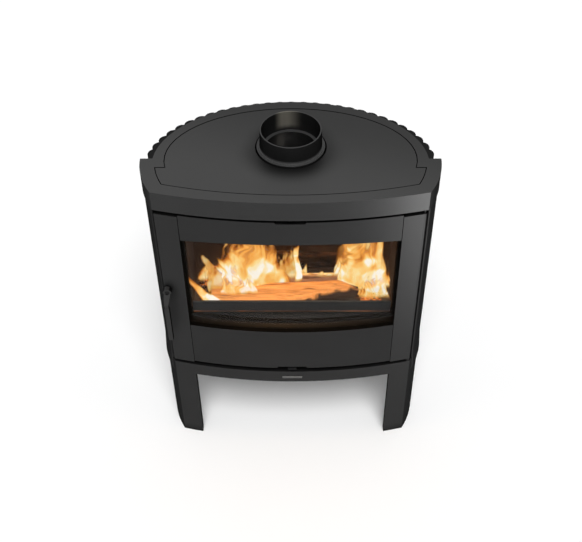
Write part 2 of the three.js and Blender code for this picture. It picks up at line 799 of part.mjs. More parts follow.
// Lining brick behind one wall of the firebox: wall 0 is the side, 1 the cut corner.
function sideBrick() {
  const outer = boxWall + seatGap;
  const inner = outer + brickThickness;
  const bendY = (offset) => boxBackY - boxCutWidth - offset * (Math.SQRT2 - 1) - seatGap;
  return new THREE.Shape([
    new THREE.Vector2(boxHalf - outer, hearthFrontY),
    new THREE.Vector2(boxHalf - outer, bendY(outer)),
    new THREE.Vector2(boxHalf - inner, bendY(inner)),
    new THREE.Vector2(boxHalf - inner, hearthFrontY),
  ]);
}

function cornerBrick() {
  const outer = boxWall + seatGap;
  const inner = outer + brickThickness;
  const step = seatGap / 2;
  const low = (offset) => new THREE.Vector2(boxHalf - offset - step,
    boxBackY - boxCutWidth - offset * (Math.SQRT2 - 1) + step);
  const high = (offset) => new THREE.Vector2(boxBackHalf - offset * (Math.SQRT2 - 1) + step,
    boxBackY - offset - step);
  return new THREE.Shape([low(outer), high(outer), high(inner), low(inner)]);
}

function backBrick() {
  const outer = boxWall + seatGap;
  const inner = outer + brickThickness;
  const endX = (offset) => boxBackHalf - offset * (Math.SQRT2 - 1) - seatGap;
  return new THREE.Shape([
    new THREE.Vector2(-endX(outer), boxBackY - outer),
    new THREE.Vector2(-endX(inner), boxBackY - inner),
    new THREE.Vector2(endX(inner), boxBackY - inner),
    new THREE.Vector2(endX(outer), boxBackY - outer),
  ]);
}

function bafflePlate() {
  const outline = boxOutline(boxWall + 2 * seatGap, boxFrontInset);
  const z0 = baffleZ + seatGap;
  const z1 = z0 + baffleThickness;
  return cut(prism(outline, z0, z1), box(-boxHalf, boxHalf, frontY, baffleFrontY, z0 - 1, z1 + 1));
}

function stand(side) {
  const inner = standX - standWidth / 2;
  const outer = standX + standWidth / 2;
  const z0 = baseTopZ + seatGap;
  const z1 = boxBottomZ - seatGap;
  const profile = new THREE.Shape([
    new THREE.Vector2(side * inner, z0),
    new THREE.Vector2(side * outer, z0),
    new THREE.Vector2(side * outer, z1),
    new THREE.Vector2(side * inner, z1),
    new THREE.Vector2(side * inner, z1 - standWall),
    new THREE.Vector2(side * (outer - standWall), z1 - standWall),
    new THREE.Vector2(side * (outer - standWall), z0 + standWall),
    new THREE.Vector2(side * inner, z0 + standWall),
  ]);
  return frontPrism(profile, standFrontY, standBackY);
}

function ashPan() {
  const z0 = ashFloorZ + seatGap;
  return cut(
    box(-panHalf, panHalf, panFrontY, panBackY, z0, z0 + panHeight),
    box(panWall - panHalf, panHalf - panWall, panFrontY + panWall, panBackY - panWall,
      z0 + panWall, z0 + panHeight + overcut),
  );
}

function ashPanPull() {
  const backY = panFrontY - seatGap;
  const shape = new THREE.Shape([
    new THREE.Vector2(-panPullHalf, backY),
    new THREE.Vector2(-panPullHalf, backY - panPullReach),
    new THREE.Vector2(panPullHalf, backY - panPullReach),
    new THREE.Vector2(panPullHalf, backY),
    new THREE.Vector2(panPullHalf - panPullThickness, backY),
    new THREE.Vector2(panPullHalf - panPullThickness, backY - panPullReach + panPullThickness),
    new THREE.Vector2(panPullThickness - panPullHalf, backY - panPullReach + panPullThickness),
    new THREE.Vector2(panPullThickness - panPullHalf, backY),
  ]);
  const z0 = ashFloorZ + panPullZ;
  return prism(shape, z0, z0 + panPullThickness);
}

// A split log: flat underneath, bark side uneven, tapered a little towards each end.
function firewoodLog(x, y, length, width, height, turn) {
  const ring = (scale, lift) => Array.from({ length: logFacets }, (_, i) => {
    const angle = (i + 0.5) / logFacets * 2 * Math.PI;
    const radius = scale * (1 + 0.05 * Math.cos(3 * angle + lift));
    const up = Math.max(Math.sin(angle) * radius, -logFlat) + logFlat;
    return new THREE.Vector2(Math.cos(angle) * radius * width / 2, up * height / (1 + logFlat));
  });
  const stations = [[0, 0.86], [0.04, 0.97], [0.35, 1.0], [0.7, 0.96], [0.96, 0.93], [1, 0.82]];
  const levels = stations.map(([along, scale]) => ({
    z: (along - 0.5) * length,
    points: ring(scale, 4 * along),
  }));
  const lying = loftGeometry(levels);
  lying.rotateX(Math.PI / 2);
  lying.rotateZ(Math.PI / 2 + turn * Math.PI / 180);
  lying.translate(x, y, hearthZ + seatGap);
  return toSolid(lying);
}

function frontLog() {
  return firewoodLog(frontLogX, frontLogY, frontLogLength, frontLogWidth, frontLogHeight, 4);
}

function middleLog() {
  return firewoodLog(middleLogX, middleLogY, middleLogLength, middleLogWidth, middleLogHeight, 2.5);
}

function backLog() {
  return firewoodLog(backLogX, backLogY, backLogLength, backLogWidth, backLogHeight, -3);
}

place(body, 'firebox_stand_right', stand(1), 'sheetSteel');
place(body, 'firebox_stand_left', stand(-1), 'sheetSteel');
place(body, 'ash_box', ashBox(), 'sheetSteel');
place(body, 'firebox_shell', fireboxShell(), 'sheetSteel');
place(body, 'firebox_top', fireboxTop(), 'sheetSteel');
place(body, 'firebox_front', fireboxFront(), 'sheetSteel');
place(body, 'hearth_sill', hearthSill(), 'castIron');
place(body, 'hearth_brick', hearthPlateSolid(boxFloorZ + seatGap, hearthZ), 'firebrick');
place(body, 'grate', grate(), 'castIron');
place(body, 'brick_right', prism(sideBrick(), hearthZ + seatGap, baffleZ), 'firebrick');
place(body, 'brick_left', prism(sideBrick(), hearthZ + seatGap, baffleZ, -1), 'firebrick');
place(body, 'brick_corner_right', prism(cornerBrick(), hearthZ + seatGap, baffleZ), 'firebrick');
place(body, 'brick_corner_left', prism(cornerBrick(), hearthZ + seatGap, baffleZ, -1), 'firebrick');
place(body, 'brick_back', prism(backBrick(), hearthZ + seatGap, baffleZ), 'firebrick');
place(body, 'baffle', bafflePlate(), 'firebrick');
place(body, 'log_retainer', box(-retainerHalf, retainerHalf, retainerY, retainerY + retainerThickness,
  hearthZ + seatGap, hearthZ + seatGap + retainerHeight), 'castIron');
place(body, 'log_front', frontLog(), 'splitWood');
place(body, 'log_middle', middleLog(), 'charredWood');
place(body, 'log_back', backLog(), 'charredWood');
place(body, 'ash_pan', ashPan(), 'sheetSteel');
place(body, 'ash_pan_pull', ashPanPull(), 'steel');

// ---------------------------------------------------------------- door

const doorBackInset = doorInset + doorThickness;
const railHalf = openingHalf - doorSeam;
const innerFrameBack = doorBackInset + innerFrameDepth;
const glassInset = doorBackInset + 2 * seatGap;
const gasketInset = glassInset + glassThickness + seatGap;
const glassHalf = openingHalf + glassMargin;
const glassBottomZ = windowBottomZ - glassMargin;
const glassTopZ = windowTopZ + windowArch + glassMargin;
const screwSeatY = bowY(screwX + screwHeadRadius, innerFrameBack) + seatGap;
const screws = [-1, 1].flatMap((side) => [lowerScrewZ, upperScrewZ].map((z) => ({ x: side * screwX, z })));

function stileLeft() {
  const plate = bowedPlate(-stileEdgeX, -openingHalf, doorInset, doorBackInset, doorBottomZ, doorTopZ);
  return cut(plate, frontRod(handleX, handleZ, bushRadius + runGap, frontY, earY));
}

// The hinge stile ends in a round bead about the hinge line, so it can turn beside the side panel.
function stileRight() {
  const plate = bowedPlate(openingHalf, hingeX, doorInset, doorBackInset, doorBottomZ, doorTopZ);
  const bead = uprightRod(hingeX, hingeY, doorThickness / 2, doorBottomZ, doorTopZ, 32);
  const bore = hingePinRadius + runGap;
  const depth = hingePinDepth + seatGap;
  return cut(
    join(plate, bead),
    uprightRod(hingeX, hingeY, bore, doorBottomZ - overcut, doorBottomZ + depth),
    uprightRod(hingeX, hingeY, bore, doorTopZ - depth, doorTopZ + overcut),
  );
}

// Tool for a finger notch: inward is -1 for a notch in a top edge and 1 for one in a bottom edge.
function notch(edgeZ, inward, half, depth) {
  const outerZ = edgeZ - inward * overcut;
  const floorZ = edgeZ + inward * depth;
  const shape = new THREE.Shape([
    new THREE.Vector2(-half - notchSlope, outerZ),
    new THREE.Vector2(-half - notchSlope, edgeZ),
    new THREE.Vector2(-half, floorZ),
    new THREE.Vector2(half, floorZ),
    new THREE.Vector2(half + notchSlope, edgeZ),
    new THREE.Vector2(half + notchSlope, outerZ),
  ]);
  return frontPrism(shape, frontY - overcut, earY);
}

function railTop() {
  const topEdgeZ = doorTopZ + railStep;
  const radius = (openingHalf ** 2 + windowArch ** 2) / (2 * windowArch);
  const turn = Math.asin(openingHalf / radius);
  const arch = new THREE.Shape();
  arch.moveTo(-openingHalf, windowTopZ - overcut);
  arch.lineTo(openingHalf, windowTopZ - overcut);
  arch.absarc(0, windowTopZ + windowArch - radius, radius, Math.PI / 2 - turn, Math.PI / 2 + turn, false);
  return cut(
    bowedPlate(-railHalf, railHalf, doorInset, doorBackInset, windowTopZ, topEdgeZ),
    frontPrism(arch, frontY - overcut, earY),
    notch(topEdgeZ, -1, upperNotchHalf, upperNotchDepth),
    ...screws.map(screwHole),
  );
}

function railBottom() {
  const bottomEdgeZ = doorBottomZ + railStep;
  return cut(
    bowedPlate(-railHalf, railHalf, doorInset, doorBackInset, bottomEdgeZ, windowBottomZ),
    notch(bottomEdgeZ, 1, lowerNotchHalf, lowerNotchDepth),
    ...screws.map(screwHole),
  );
}

function screwHole({ x, z }) {
  return frontRod(x, z, screwRadius + runGap, screwSeatY - screwLength - seatGap, screwSeatY + overcut, 16);
}

function frameScrew({ x, z }) {
  return join(
    frontRod(x, z, screwRadius, screwSeatY - screwLength, screwSeatY + screwHeadHeight / 2, 16),
    frontRod(x, z, screwHeadRadius, screwSeatY, screwSeatY + screwHeadHeight, 16),
  );
}

function innerFrame() {
  const front = doorBackInset + seatGap;
  const pocketHalf = innerFrameHalf - pocketMargin;
  return cut(
    bowedRing(innerFrameHalf, openingHalf + innerWindowMargin, front, innerFrameBack,
      innerFrameBottomZ, innerFrameTopZ,
      windowBottomZ - innerWindowMargin, windowTopZ + windowArch + innerWindowMargin),
    bowedPlate(-glassHalf - seatGap, glassHalf + seatGap, front - overcut,
      gasketInset + gasketThickness + seatGap, glassBottomZ - seatGap, glassTopZ + seatGap),
    bowedPlate(-pocketHalf, pocketHalf, innerFrameBack - pocketDepth, innerFrameBack + overcut,
      innerFrameBottomZ + pocketMargin, lowerScrewZ - pocketDepth),
    ...screws.map(screwHole),
  );
}

function glassGasket() {
  return bowedRing(glassHalf, glassHalf - gasketWidth, gasketInset, gasketInset + gasketThickness,
    glassBottomZ, glassTopZ, glassBottomZ + gasketWidth, glassTopZ - gasketWidth);
}

function ropeSeal() {
  const front = innerFrameBack + seatGap;
  return bowedRing(sealHalf, sealHalf - sealWidth, front, front + sealThickness,
    sealBottomZ, sealTopZ, sealBottomZ + sealWidth, sealTopZ - sealWidth);
}

// ---------------------------------------------------------------- handle and latch

const camFrontY = bowY(stileEdgeX, doorBackInset) + seatGap;
const camBackY = camFrontY + camThickness;
const nutBackY = camBackY + seatGap + nutThickness;
const bushFrontY = bowY(handleX + bushRadius, doorInset) - bushProud;
const hubBackY = bushFrontY - seatGap;
const hubFrontY = hubBackY - hubLength;

function spindleBore(y0, y1) {
  return frontRod(handleX, handleZ, spindleRadius + runGap, y0 - overcut, y1 + overcut);
}

function handleBush() {
  const y1 = camFrontY - seatGap;
  return cut(frontRod(handleX, handleZ, bushRadius, bushFrontY, y1), spindleBore(bushFrontY, y1));
}

// The lever runs from the hub down and forwards to the neck, where its tang enters the grip.
function handleLever() {
  const hubY = (hubBackY + hubFrontY) / 2;
  const neckZ = gripTopZ + seatGap;
  const level = (z, x, y, width, thickness) => ({
    z,
    points: roundedRect(x, y, width / 2, thickness / 2, leverRound),
  });
  const arm = loftGeometry([
    level(neckZ, gripX, gripY, leverNeckWidth, leverNeckWidth),
    level(neckZ + leverNeckHeight, gripX, gripY + 2, leverThickness, leverThickness),
    level(neckZ + leverKneeHeight, gripX + 1, gripY + leverKneeBack, leverKneeWidth, leverThickness),
    level(handleZ, handleX, hubY, leverHubWidth, leverThickness),
  ]);
  return cut(
    join(
      toSolid(arm),
      frontRod(handleX, handleZ, hubRadius, hubFrontY, hubBackY, 32),
      uprightRod(gripX, gripY, tangRadius, gripTopZ - tangLength, neckZ + 1, 16),
    ),
    spindleBore(hubFrontY, hubBackY),
  );
}

function handleGrip() {
  const bottomZ = gripTopZ - gripLength;
  const level = (z, narrower) => ({
    z,
    points: roundedRect(gripX, gripY, gripWidth / 2 - narrower, gripThickness / 2 - narrower,
      gripRound - narrower),
  });
  const bar = loftGeometry([
    level(bottomZ, 2),
    level(bottomZ + 2, 0.6),
    level(bottomZ + 5, 0),
    level(gripTopZ - 4, 0),
    level(gripTopZ, 1.5),
  ]);
  const bore = uprightRod(gripX, gripY, tangRadius + runGap, gripTopZ - tangLength - seatGap,
    gripTopZ + overcut, 16);
  return cut(toSolid(bar), bore);
}

function latchCam() {
  const arm = box(handleX - camWidth / 2, handleX + camWidth / 2, camFrontY, camBackY,
    handleZ, handleZ + camReach);
  return cut(join(frontRod(handleX, handleZ, camHubRadius, camFrontY, camBackY), arm),
    spindleBore(camFrontY, camBackY));
}

function camNut() {
  const nut = frontRod(handleX, handleZ, nutRadius, camBackY + seatGap, nutBackY, 6);
  return cut(nut, spindleBore(camBackY, nutBackY));
}

// Block on the firebox front that the latch cam bears against when the door is shut.
function latchKeeper() {
  const faceY = camBackY + seatGap;
  const x0 = handleX - keeperWidth / 2;
  const x1 = handleX + keeperWidth / 2;
  const z0 = handleZ + nutRadius + 2;
  const shape = new THREE.Shape();
  shape.moveTo(x0, faceY);
  shape.lineTo(x1, faceY);
  bowCurve(shape, x1, x0, frontFrameInset - seatGap);
  return prism(shape, z0, z0 + keeperHeight);
}

// ---------------------------------------------------------------- hinge and air slides

const upperSlideZ = frontFrameTopZ + guideBase + 2 * seatGap;
const lowerSlideZ = portalHeight + slideApronGap;
const lowerSlideBackY = frontY + frontFrameInset - guideWall - 2 * seatGap;

function hingePin(z0, z1) {
  return uprightRod(hingeX, hingeY, hingePinRadius, z0, z1);
}

function hingeSpacer() {
  const z0 = portalHeight + seatGap;
  const z1 = doorBottomZ - seatGap;
  return cut(uprightRod(hingeX, hingeY, spacerRadius, z0, z1),
    uprightRod(hingeX, hingeY, hingePinRadius + runGap, z0 - overcut, z1 + overcut));
}

function airSlide(backY, z0) {
  const frontOfBarY = backY - slideDepth;
  return join(
    box(-slideHalf, slideHalf, frontOfBarY, backY, z0, z0 + slideThickness),
    box(-slideTabHalf, slideTabHalf, slideTabFrontY, frontOfBarY + 1, z0, z0 + slideThickness),
  );
}

// Channel that the slide lies in; its front lip is left open where the tab passes.
function slideGuide(backY, slideZ) {
  const half = slideHalf + slideTravel + slideGuideMargin;
  const tabHalf = slideTabHalf + slideTravel + slideTabGap;
  const channelBackY = backY + seatGap;
  const channelFrontY = backY - slideDepth - seatGap;
  const floorZ = slideZ - seatGap;
  const lipZ = floorZ + guideLip;
  return cut(
    box(-half, half, channelFrontY - guideWall, channelBackY + guideWall, floorZ - guideBase, lipZ),
    box(-half - overcut, half + overcut, channelFrontY, channelBackY, floorZ, lipZ + overcut),
    box(-tabHalf, tabHalf, channelFrontY - guideWall - overcut, channelBackY, floorZ, lipZ + overcut),
  );
}

place(body, 'hinge_pin_top', hingePin(doorTopZ - hingePinDepth, bandBottomZ + hingePinSeat), 'steel');
place(body, 'hinge_pin_bottom', hingePin(portalHeight - hingePinSeat, doorBottomZ + hingePinDepth), 'steel');
place(body, 'hinge_spacer', hingeSpacer(), 'steel');
place(body, 'latch_keeper', latchKeeper(), 'steel');
place(body, 'slide_guide_top', slideGuide(upperSlideBackY, upperSlideZ), 'sheetSteel');
place(body, 'slide_guide_bottom', slideGuide(lowerSlideBackY, lowerSlideZ), 'sheetSteel');

place(door, 'door_stile_left', stileLeft(), 'castIron');
place(door, 'door_stile_right', stileRight(), 'castIron');
place(door, 'door_rail_top', railTop(), 'castIron');
place(door, 'door_rail_bottom', railBottom(), 'castIron');
place(door, 'door_inner_frame', innerFrame(), 'castIron');
place(door, 'door_glass', bowedPlate(-glassHalf, glassHalf, glassInset, glassInset + glassThickness,
  glassBottomZ, glassTopZ), 'glass');
place(door, 'glass_gasket', glassGasket(), 'rope');
place(door, 'door_rope_seal', ropeSeal(), 'rope');
place(door, 'handle_bush', handleBush(), 'steel');
screws.forEach((screw, i) => place(door, `frame_screw_${i + 1}`, frameScrew(screw), 'steel'));

place(handle, 'handle_spindle', frontRod(handleX, handleZ, spindleRadius, hubFrontY - 1, nutBackY + 1.5), 'steel');
place(handle, 'handle_lever', handleLever(), 'castIron');
place(handle, 'handle_grip', handleGrip(), 'enamelBlack');
place(handle, 'latch_cam', latchCam(), 'steel');
place(handle, 'cam_nut', camNut(), 'steel');

place(slides, 'air_slide_top', airSlide(upperSlideBackY, upperSlideZ), 'sheetSteel');
place(slides, 'air_slide_bottom', airSlide(lowerSlideBackY, lowerSlideZ), 'sheetSteel');

// ---------------------------------------------------------------- position on the floor

const backY = Math.max(...flutedPoints().map((point) => point.y));
stove.position.y = -(frontY + backY) / 2;
stove.updateMatrixWorld(true);

export default stove;
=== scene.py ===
import json
import math
import random

import bpy
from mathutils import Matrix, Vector, noise


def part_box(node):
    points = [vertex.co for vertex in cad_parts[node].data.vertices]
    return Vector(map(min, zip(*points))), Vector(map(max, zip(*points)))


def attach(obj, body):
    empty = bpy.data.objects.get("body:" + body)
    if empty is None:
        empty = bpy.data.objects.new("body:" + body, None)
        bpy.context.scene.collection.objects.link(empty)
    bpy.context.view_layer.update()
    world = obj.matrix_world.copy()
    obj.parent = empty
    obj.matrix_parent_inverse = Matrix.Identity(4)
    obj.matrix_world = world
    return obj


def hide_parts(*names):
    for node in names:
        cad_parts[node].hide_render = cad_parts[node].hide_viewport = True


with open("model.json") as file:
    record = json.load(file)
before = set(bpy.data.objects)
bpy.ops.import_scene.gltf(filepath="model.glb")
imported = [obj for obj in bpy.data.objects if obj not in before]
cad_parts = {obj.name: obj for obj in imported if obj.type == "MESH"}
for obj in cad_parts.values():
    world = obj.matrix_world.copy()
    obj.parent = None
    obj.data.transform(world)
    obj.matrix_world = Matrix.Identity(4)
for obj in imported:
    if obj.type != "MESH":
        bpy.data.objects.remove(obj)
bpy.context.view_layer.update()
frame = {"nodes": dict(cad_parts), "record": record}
nodes = frame["nodes"]
scene = bpy.context.scene


# colours, and helpers for node trees

def grey(level):
    return (level, level, level)


def scaled(colour, factor):
    return [channel * factor for channel in colour]


black = grey(0.0)


def setAll(thing, **values):
    for key, value in values.items():
        setattr(thing, key, value)
    return thing


def plug(value, socket):
    # a socket is linked, a number or colour is written down
    if isinstance(value, bpy.types.NodeSocket):
        socket.id_data.links.new(value, socket)
    else:
        socket.default_value = value


def setInputs(inputs, **values):
    for label, value in values.items():
        plug(value, inputs[label.replace("_", " ")])
    return inputs


def addNode(tree, kind, **values):
    # a value is set on the node itself or, failing that, on its input of that name
    node = tree.nodes.new("ShaderNode" + kind)
    for key, value in values.items():
        if hasattr(node, key):
            setattr(node, key, value)
        else:
            setInputs(node.inputs, **{key: value})
    return node


def fill(node, values):
    for index, value in enumerate(values):
        plug(value, node.inputs[index])
    return node.outputs[0]


def treeOf(values):
    # the node tree that the first socket among these values belongs to
    return next(value.id_data for value in values if isinstance(value, bpy.types.NodeSocket))


def newGroup(name, inputs, outputs):
    group = bpy.data.node_groups.new(name, "ShaderNodeTree")
    for label, value in inputs:
        socket = group.interface.new_socket(name=label, in_out="INPUT", socket_type="NodeSocketFloat")
        socket.default_value = value
    for label in outputs:
        group.interface.new_socket(name=label, in_out="OUTPUT", socket_type="NodeSocketFloat")
    given = group.nodes.new("NodeGroupInput").outputs
    return group, given, group.nodes.new("NodeGroupOutput").inputs


def useGroup(tree, group, **values):
    node = addNode(tree, "Group")
    node.node_tree = group
    setInputs(node.inputs, **values)
    return node.outputs


def calc(operation, *values):
    return fill(addNode(treeOf(values), "Math", operation=operation), values)


def product(first, *others):
    for other in others:
        first = calc("MULTIPLY", first, other)
    return first


def added(first, second):
    return calc("ADD", first, second)


def less(first, second):
    return calc("SUBTRACT", first, second)


def splitAxes(vector):
    return addNode(vector.id_data, "SeparateXYZ", Vector=vector).outputs


def joinAxes(*axes):
    return fill(addNode(treeOf(axes), "CombineXYZ"), axes)


def ramp(value, low, high, fromValue=0.0, toValue=1.0, smooth=False):
    kind = "SMOOTHSTEP" if smooth else "LINEAR"
    node = addNode(value.id_data, "MapRange", interpolation_type=kind)
    return fill(node, (value, low, high, fromValue, toValue))


def mixColour(factor, first, second, blend="MIX"):
    node = addNode(treeOf((factor, first, second)), "Mix", data_type="RGBA", blend_type=blend)
    for index, value in ((0, factor), (6, first), (7, second)):
        plug((*value, 1.0) if isinstance(value, (tuple, list)) else value, node.inputs[index])
    return node.outputs[2]


def noiseNode(vector, scale, detail=3.0, roughness=0.55, distortion=0.0):
    return addNode(vector.id_data, "TexNoise", Vector=vector, Scale=scale, Detail=detail,
                   Roughness=roughness, Distortion=distortion).outputs[0]


def stretched(vector, scale):
    return addNode(vector.id_data, "Mapping", Vector=vector, Scale=scale).outputs[0]


def objectSpace(tree):
    return addNode(tree, "TexCoord").outputs["Object"]


def surfaceNormal(tree):
    return addNode(tree, "NewGeometry").outputs["Normal"]


def bumpNode(height, strength, distance):
    return addNode(height.id_data, "Bump", Height=height, Strength=strength, Distance=distance).outputs[0]


def newMaterial(name, **settings):
    material = bpy.data.materials.new(name)
    material.use_nodes = True
    tree = material.node_tree
    return material, tree, setInputs(tree.nodes["Principled BSDF"].inputs, **settings)


# effects shared by several finishes; pairs are where each one starts and is full

grainShape = dict(pits=(0.05, 0.16), pitSpacing=0.35, pitDepth=0.5, slowDepth=0.5)


def buildCastingGrain():
    # fine sand-cast grain over slow unevenness
    group, given, result = newGroup("castingGrain", [("Grain Size", 900.0), ("Mottle Size", 14.0)],
                                    ["Height", "Mottle"])
    place = objectSpace(group)
    fine = noiseNode(place, given["Grain Size"], 3.0, 0.65)
    slow = noiseNode(place, given["Mottle Size"], 3.0, 0.5)
    pitScale = product(given["Grain Size"], grainShape["pitSpacing"])
    pits = addNode(group, "TexVoronoi", Vector=place, Scale=pitScale)
    pitMask = ramp(pits.outputs["Distance"], *grainShape["pits"], 1.0, 0.0, True)
    uneven = added(fine, product(slow, grainShape["slowDepth"]))
    setInputs(result, Height=less(uneven, product(pitMask, grainShape["pitDepth"])), Mottle=slow)
    return group


edgeWearHighlightShape = dict(width=0.0016, turn=(0.99, 0.86), patches=(0.35, 0.62), patchScale=160.0)


def buildEdgeWearAndHighlight():
    # paint thinned by handling along edges, and a painted highlight along the same edges, broken up by noise
    group, given, result = newGroup("edgeWearAndHighlight", [("Width", 0.0015), ("Amount", 0.5)], ["Mask"])
    rounded = addNode(group, "Bevel", samples=4, Radius=given["Width"])
    turn = addNode(group, "VectorMath", operation="DOT_PRODUCT")
    fill(turn, (rounded.outputs[0], surfaceNormal(group)))
    edge = ramp(turn.outputs["Value"], *edgeWearHighlightShape["turn"], smooth=True)
    patches = noiseNode(objectSpace(group), edgeWearHighlightShape["patchScale"], 4.0, 0.7)
    broken = ramp(patches, *edgeWearHighlightShape["patches"])
    plug(product(edge, broken, given["Amount"]), result["Mask"])
    return group


contactShadeShape = dict(samples=6, full=0.42, darkest=0.06)


def buildPaintedContactShade():
    # painted shade: ambient occlusion darkens the paint where one piece stands close to another
    group, given, result = newGroup("paintedContactShade", [("Reach", 0.045), ("Full", 0.45)], ["Clean"])
    nearness = addNode(group, "AmbientOcclusion", samples=contactShadeShape["samples"], Distance=given["Reach"])
    unshaded = ramp(nearness.outputs["AO"], given["Full"], 1.0, contactShadeShape["darkest"], 1.0)
    plug(unshaded, result["Clean"])
    return group


ashShape = dict(up=(0.3, 0.95), patches=(0.38, 0.66))


def buildAshFall():
    # pale ash that settles on whatever faces up
    group, given, result = newGroup("ashFall", [("Amount", 0.3), ("Scale", 60.0)], ["Mask"])
    up = ramp(splitAxes(surfaceNormal(group))["Z"], *ashShape["up"], smooth=True)
    specks = noiseNode(objectSpace(group), given["Scale"], 5.0, 0.7)
    patches = ramp(specks, *ashShape["patches"])
    plug(product(up, patches, given["Amount"]), result["Mask"])
    return group


fibreShape = dict(warpScale=9.0, warp=0.02, bandScale=0.22, bandShare=0.4, checkScale=0.5, checks=(0.36, 0.3),
                  checkDepth=0.8)


def buildWoodFibre():
    # long fibres along X, with a few dark checks between them
    group, given, result = newGroup("woodFibre", [("Fibre", 300.0), ("Stretch", 14.0)],
                                    ["Grain", "Checks", "Height"])
    place = objectSpace(group)
    drift = addNode(group, "TexNoise", Vector=place, Scale=fibreShape["warpScale"], Detail=2.0)
    warp = fill(addNode(group, "VectorMath", operation="MULTIPLY_ADD"),
                (drift.outputs["Color"], (0.0, fibreShape["warp"], fibreShape["warp"]), place))
    lengthwise = calc("DIVIDE", given["Fibre"], given["Stretch"])
    scale = joinAxes(lengthwise, given["Fibre"], given["Fibre"])
    fibreSpace = stretched(warp, scale)
    fibres = noiseNode(fibreSpace, 1.0, 5.0, 0.65)
    bands = noiseNode(fibreSpace, fibreShape["bandScale"], 2.0, 0.5)
    splits = noiseNode(fibreSpace, fibreShape["checkScale"], 2.0, 0.4)
    checks = ramp(splits, *fibreShape["checks"], smooth=True)
    share = fibreShape["bandShare"]
    setInputs(result, Grain=added(product(fibres, 1 - share), product(bands, share)), Checks=checks,
              Height=less(fibres, product(checks, fibreShape["checkDepth"])))
    return group


castingGrain = buildCastingGrain()
edgeWearAndHighlight = buildEdgeWearAndHighlight()
paintedContactShade = buildPaintedContactShade()
ashFall = buildAshFall()
woodFibre = buildWoodFibre()


# finishes of painted castings and steel

smoothPaint = dict(roughness=0.8, grainSize=1300.0, mottleSize=6.0, mottle=0.05, bump=0.1, rubAndHighlight=0.3)
castings = {
    # painted light and shade on the top casting: upward faces painted lighter, a darker back, a painted shadow
    # in front of the flue, painted edge highlights
    "cast_iron_top": dict(smoothPaint, colour=grey(0.0225), upColour=(0.0425, 0.0425, 0.0421),
        rearShade=0.44, flueShadow=0.85, contactShadeReach=0.05, coat=0.34, coatRoughness=0.42,
        rubHighlightColour=(0.085, 0.085, 0.084)),
    "cast_iron_body": dict(smoothPaint, colour=grey(0.019), contactShadeReach=0.03, coat=0.25, coatRoughness=0.44,
        rubHighlightColour=grey(0.05)),
    # painted top light: the collar ring's upward faces are painted lighter, and its edges carry a painted
    # highlight
    "collar_paint": dict(colour=grey(0.0075), upColour=grey(0.034), roughness=0.6, coat=0.35,
        coatRoughness=0.36, grainSize=900.0, mottleSize=16.0, mottle=0.1, bump=0.05, rubAndHighlight=0.8,
        rubHighlightColour=grey(0.06)),
    "bare_steel": dict(colour=(0.11, 0.11, 0.107), metal=0.8, roughness=0.42, coat=0.2, coatRoughness=0.3,
        grainSize=900.0, mottleSize=30.0, mottle=0.12, bump=0.05, rubAndHighlight=0.5, rubHighlightColour=grey(0.2)),
    "sheet_steel": dict(colour=grey(0.014), roughness=0.7, coat=0.3, coatRoughness=0.45, grainSize=700.0,
        mottleSize=12.0, mottle=0.15, bump=0.06, rubAndHighlight=0.3, rubHighlightColour=grey(0.04)),
}
# nodes that differ from the rest of their slot: soot on some, painted light, shade and highlights on others
body, sheet = castings["cast_iron_body"], castings["sheet_steel"]
variants = {
    # painted shade: the fluted back's tops are painted near black
    "flutedCasting": dict(body, upColour=grey(0.0025)),
    "blackSteel": dict(sheet, colour=grey(0.006)),
    # painted light: the sill's tops are painted pale blue-grey as light from the front; its dark body is soot
    "sillSootAndPaintedLight": dict(body, colour=grey(0.007), upColour=(0.026, 0.032, 0.04), up=(0.95, 0.99), coat=0.06),
    # painted shade and highlight: the rail's top is painted near black and its edges carry a strong painted
    # highlight
    "railPaintedShadeAndHighlight": dict(body, colour=grey(0.025), upColour=(0.0015, 0.0014, 0.0012), up=(0.95, 0.99),
        coat=0.08, contactShadeReach=0.003, rubAndHighlight=1.0, rubHighlightColour=(0.085, 0.08, 0.078)),
    "sootedSheet": dict(sheet, upColour=(0.002, 0.0016, 0.0012), coat=0.06),
    # painted light: the retainer is tinted blue-grey as light from the front, with a painted firelight glow
    # along its foot
    "retainerSteel": dict(body, colour=(0.036, 0.042, 0.05), coat=0.08, contactShadeReach=0.003,
        footGlow=(0.3, 0.11, 0.035)),
    # painted highlights: a light bead round the collar's foot and a warm grey reflection streak inside it
    "flueCollar": dict(castings["collar_paint"], streak=(0.125, 0.117, 0.098), bead=grey(0.045)),
    # painted shade: the handle's sides are painted near black while its front keeps the body grey
    "handlePaint": dict(body, colour=grey(0.024), sideShadeColour=grey(0.0015), contactShadeReach=0.004),
}
nodesOfVariant = {
    "flutedCasting": ["back_shell"],
    "blackSteel": ["hinge_pin_top", "hinge_pin_bottom", "hinge_spacer", "handle_spindle"],
    "sillSootAndPaintedLight": ["hearth_sill"],
    "railPaintedShadeAndHighlight": ["door_rail_bottom"],
    "sootedSheet": ["firebox_front"],
    "retainerSteel": ["log_retainer"],
    "flueCollar": ["flue_collar"],
    "handlePaint": ["handle_lever", "handle_bush", "handle_grip"],
    "glassTape": ["glass_gasket"],
}

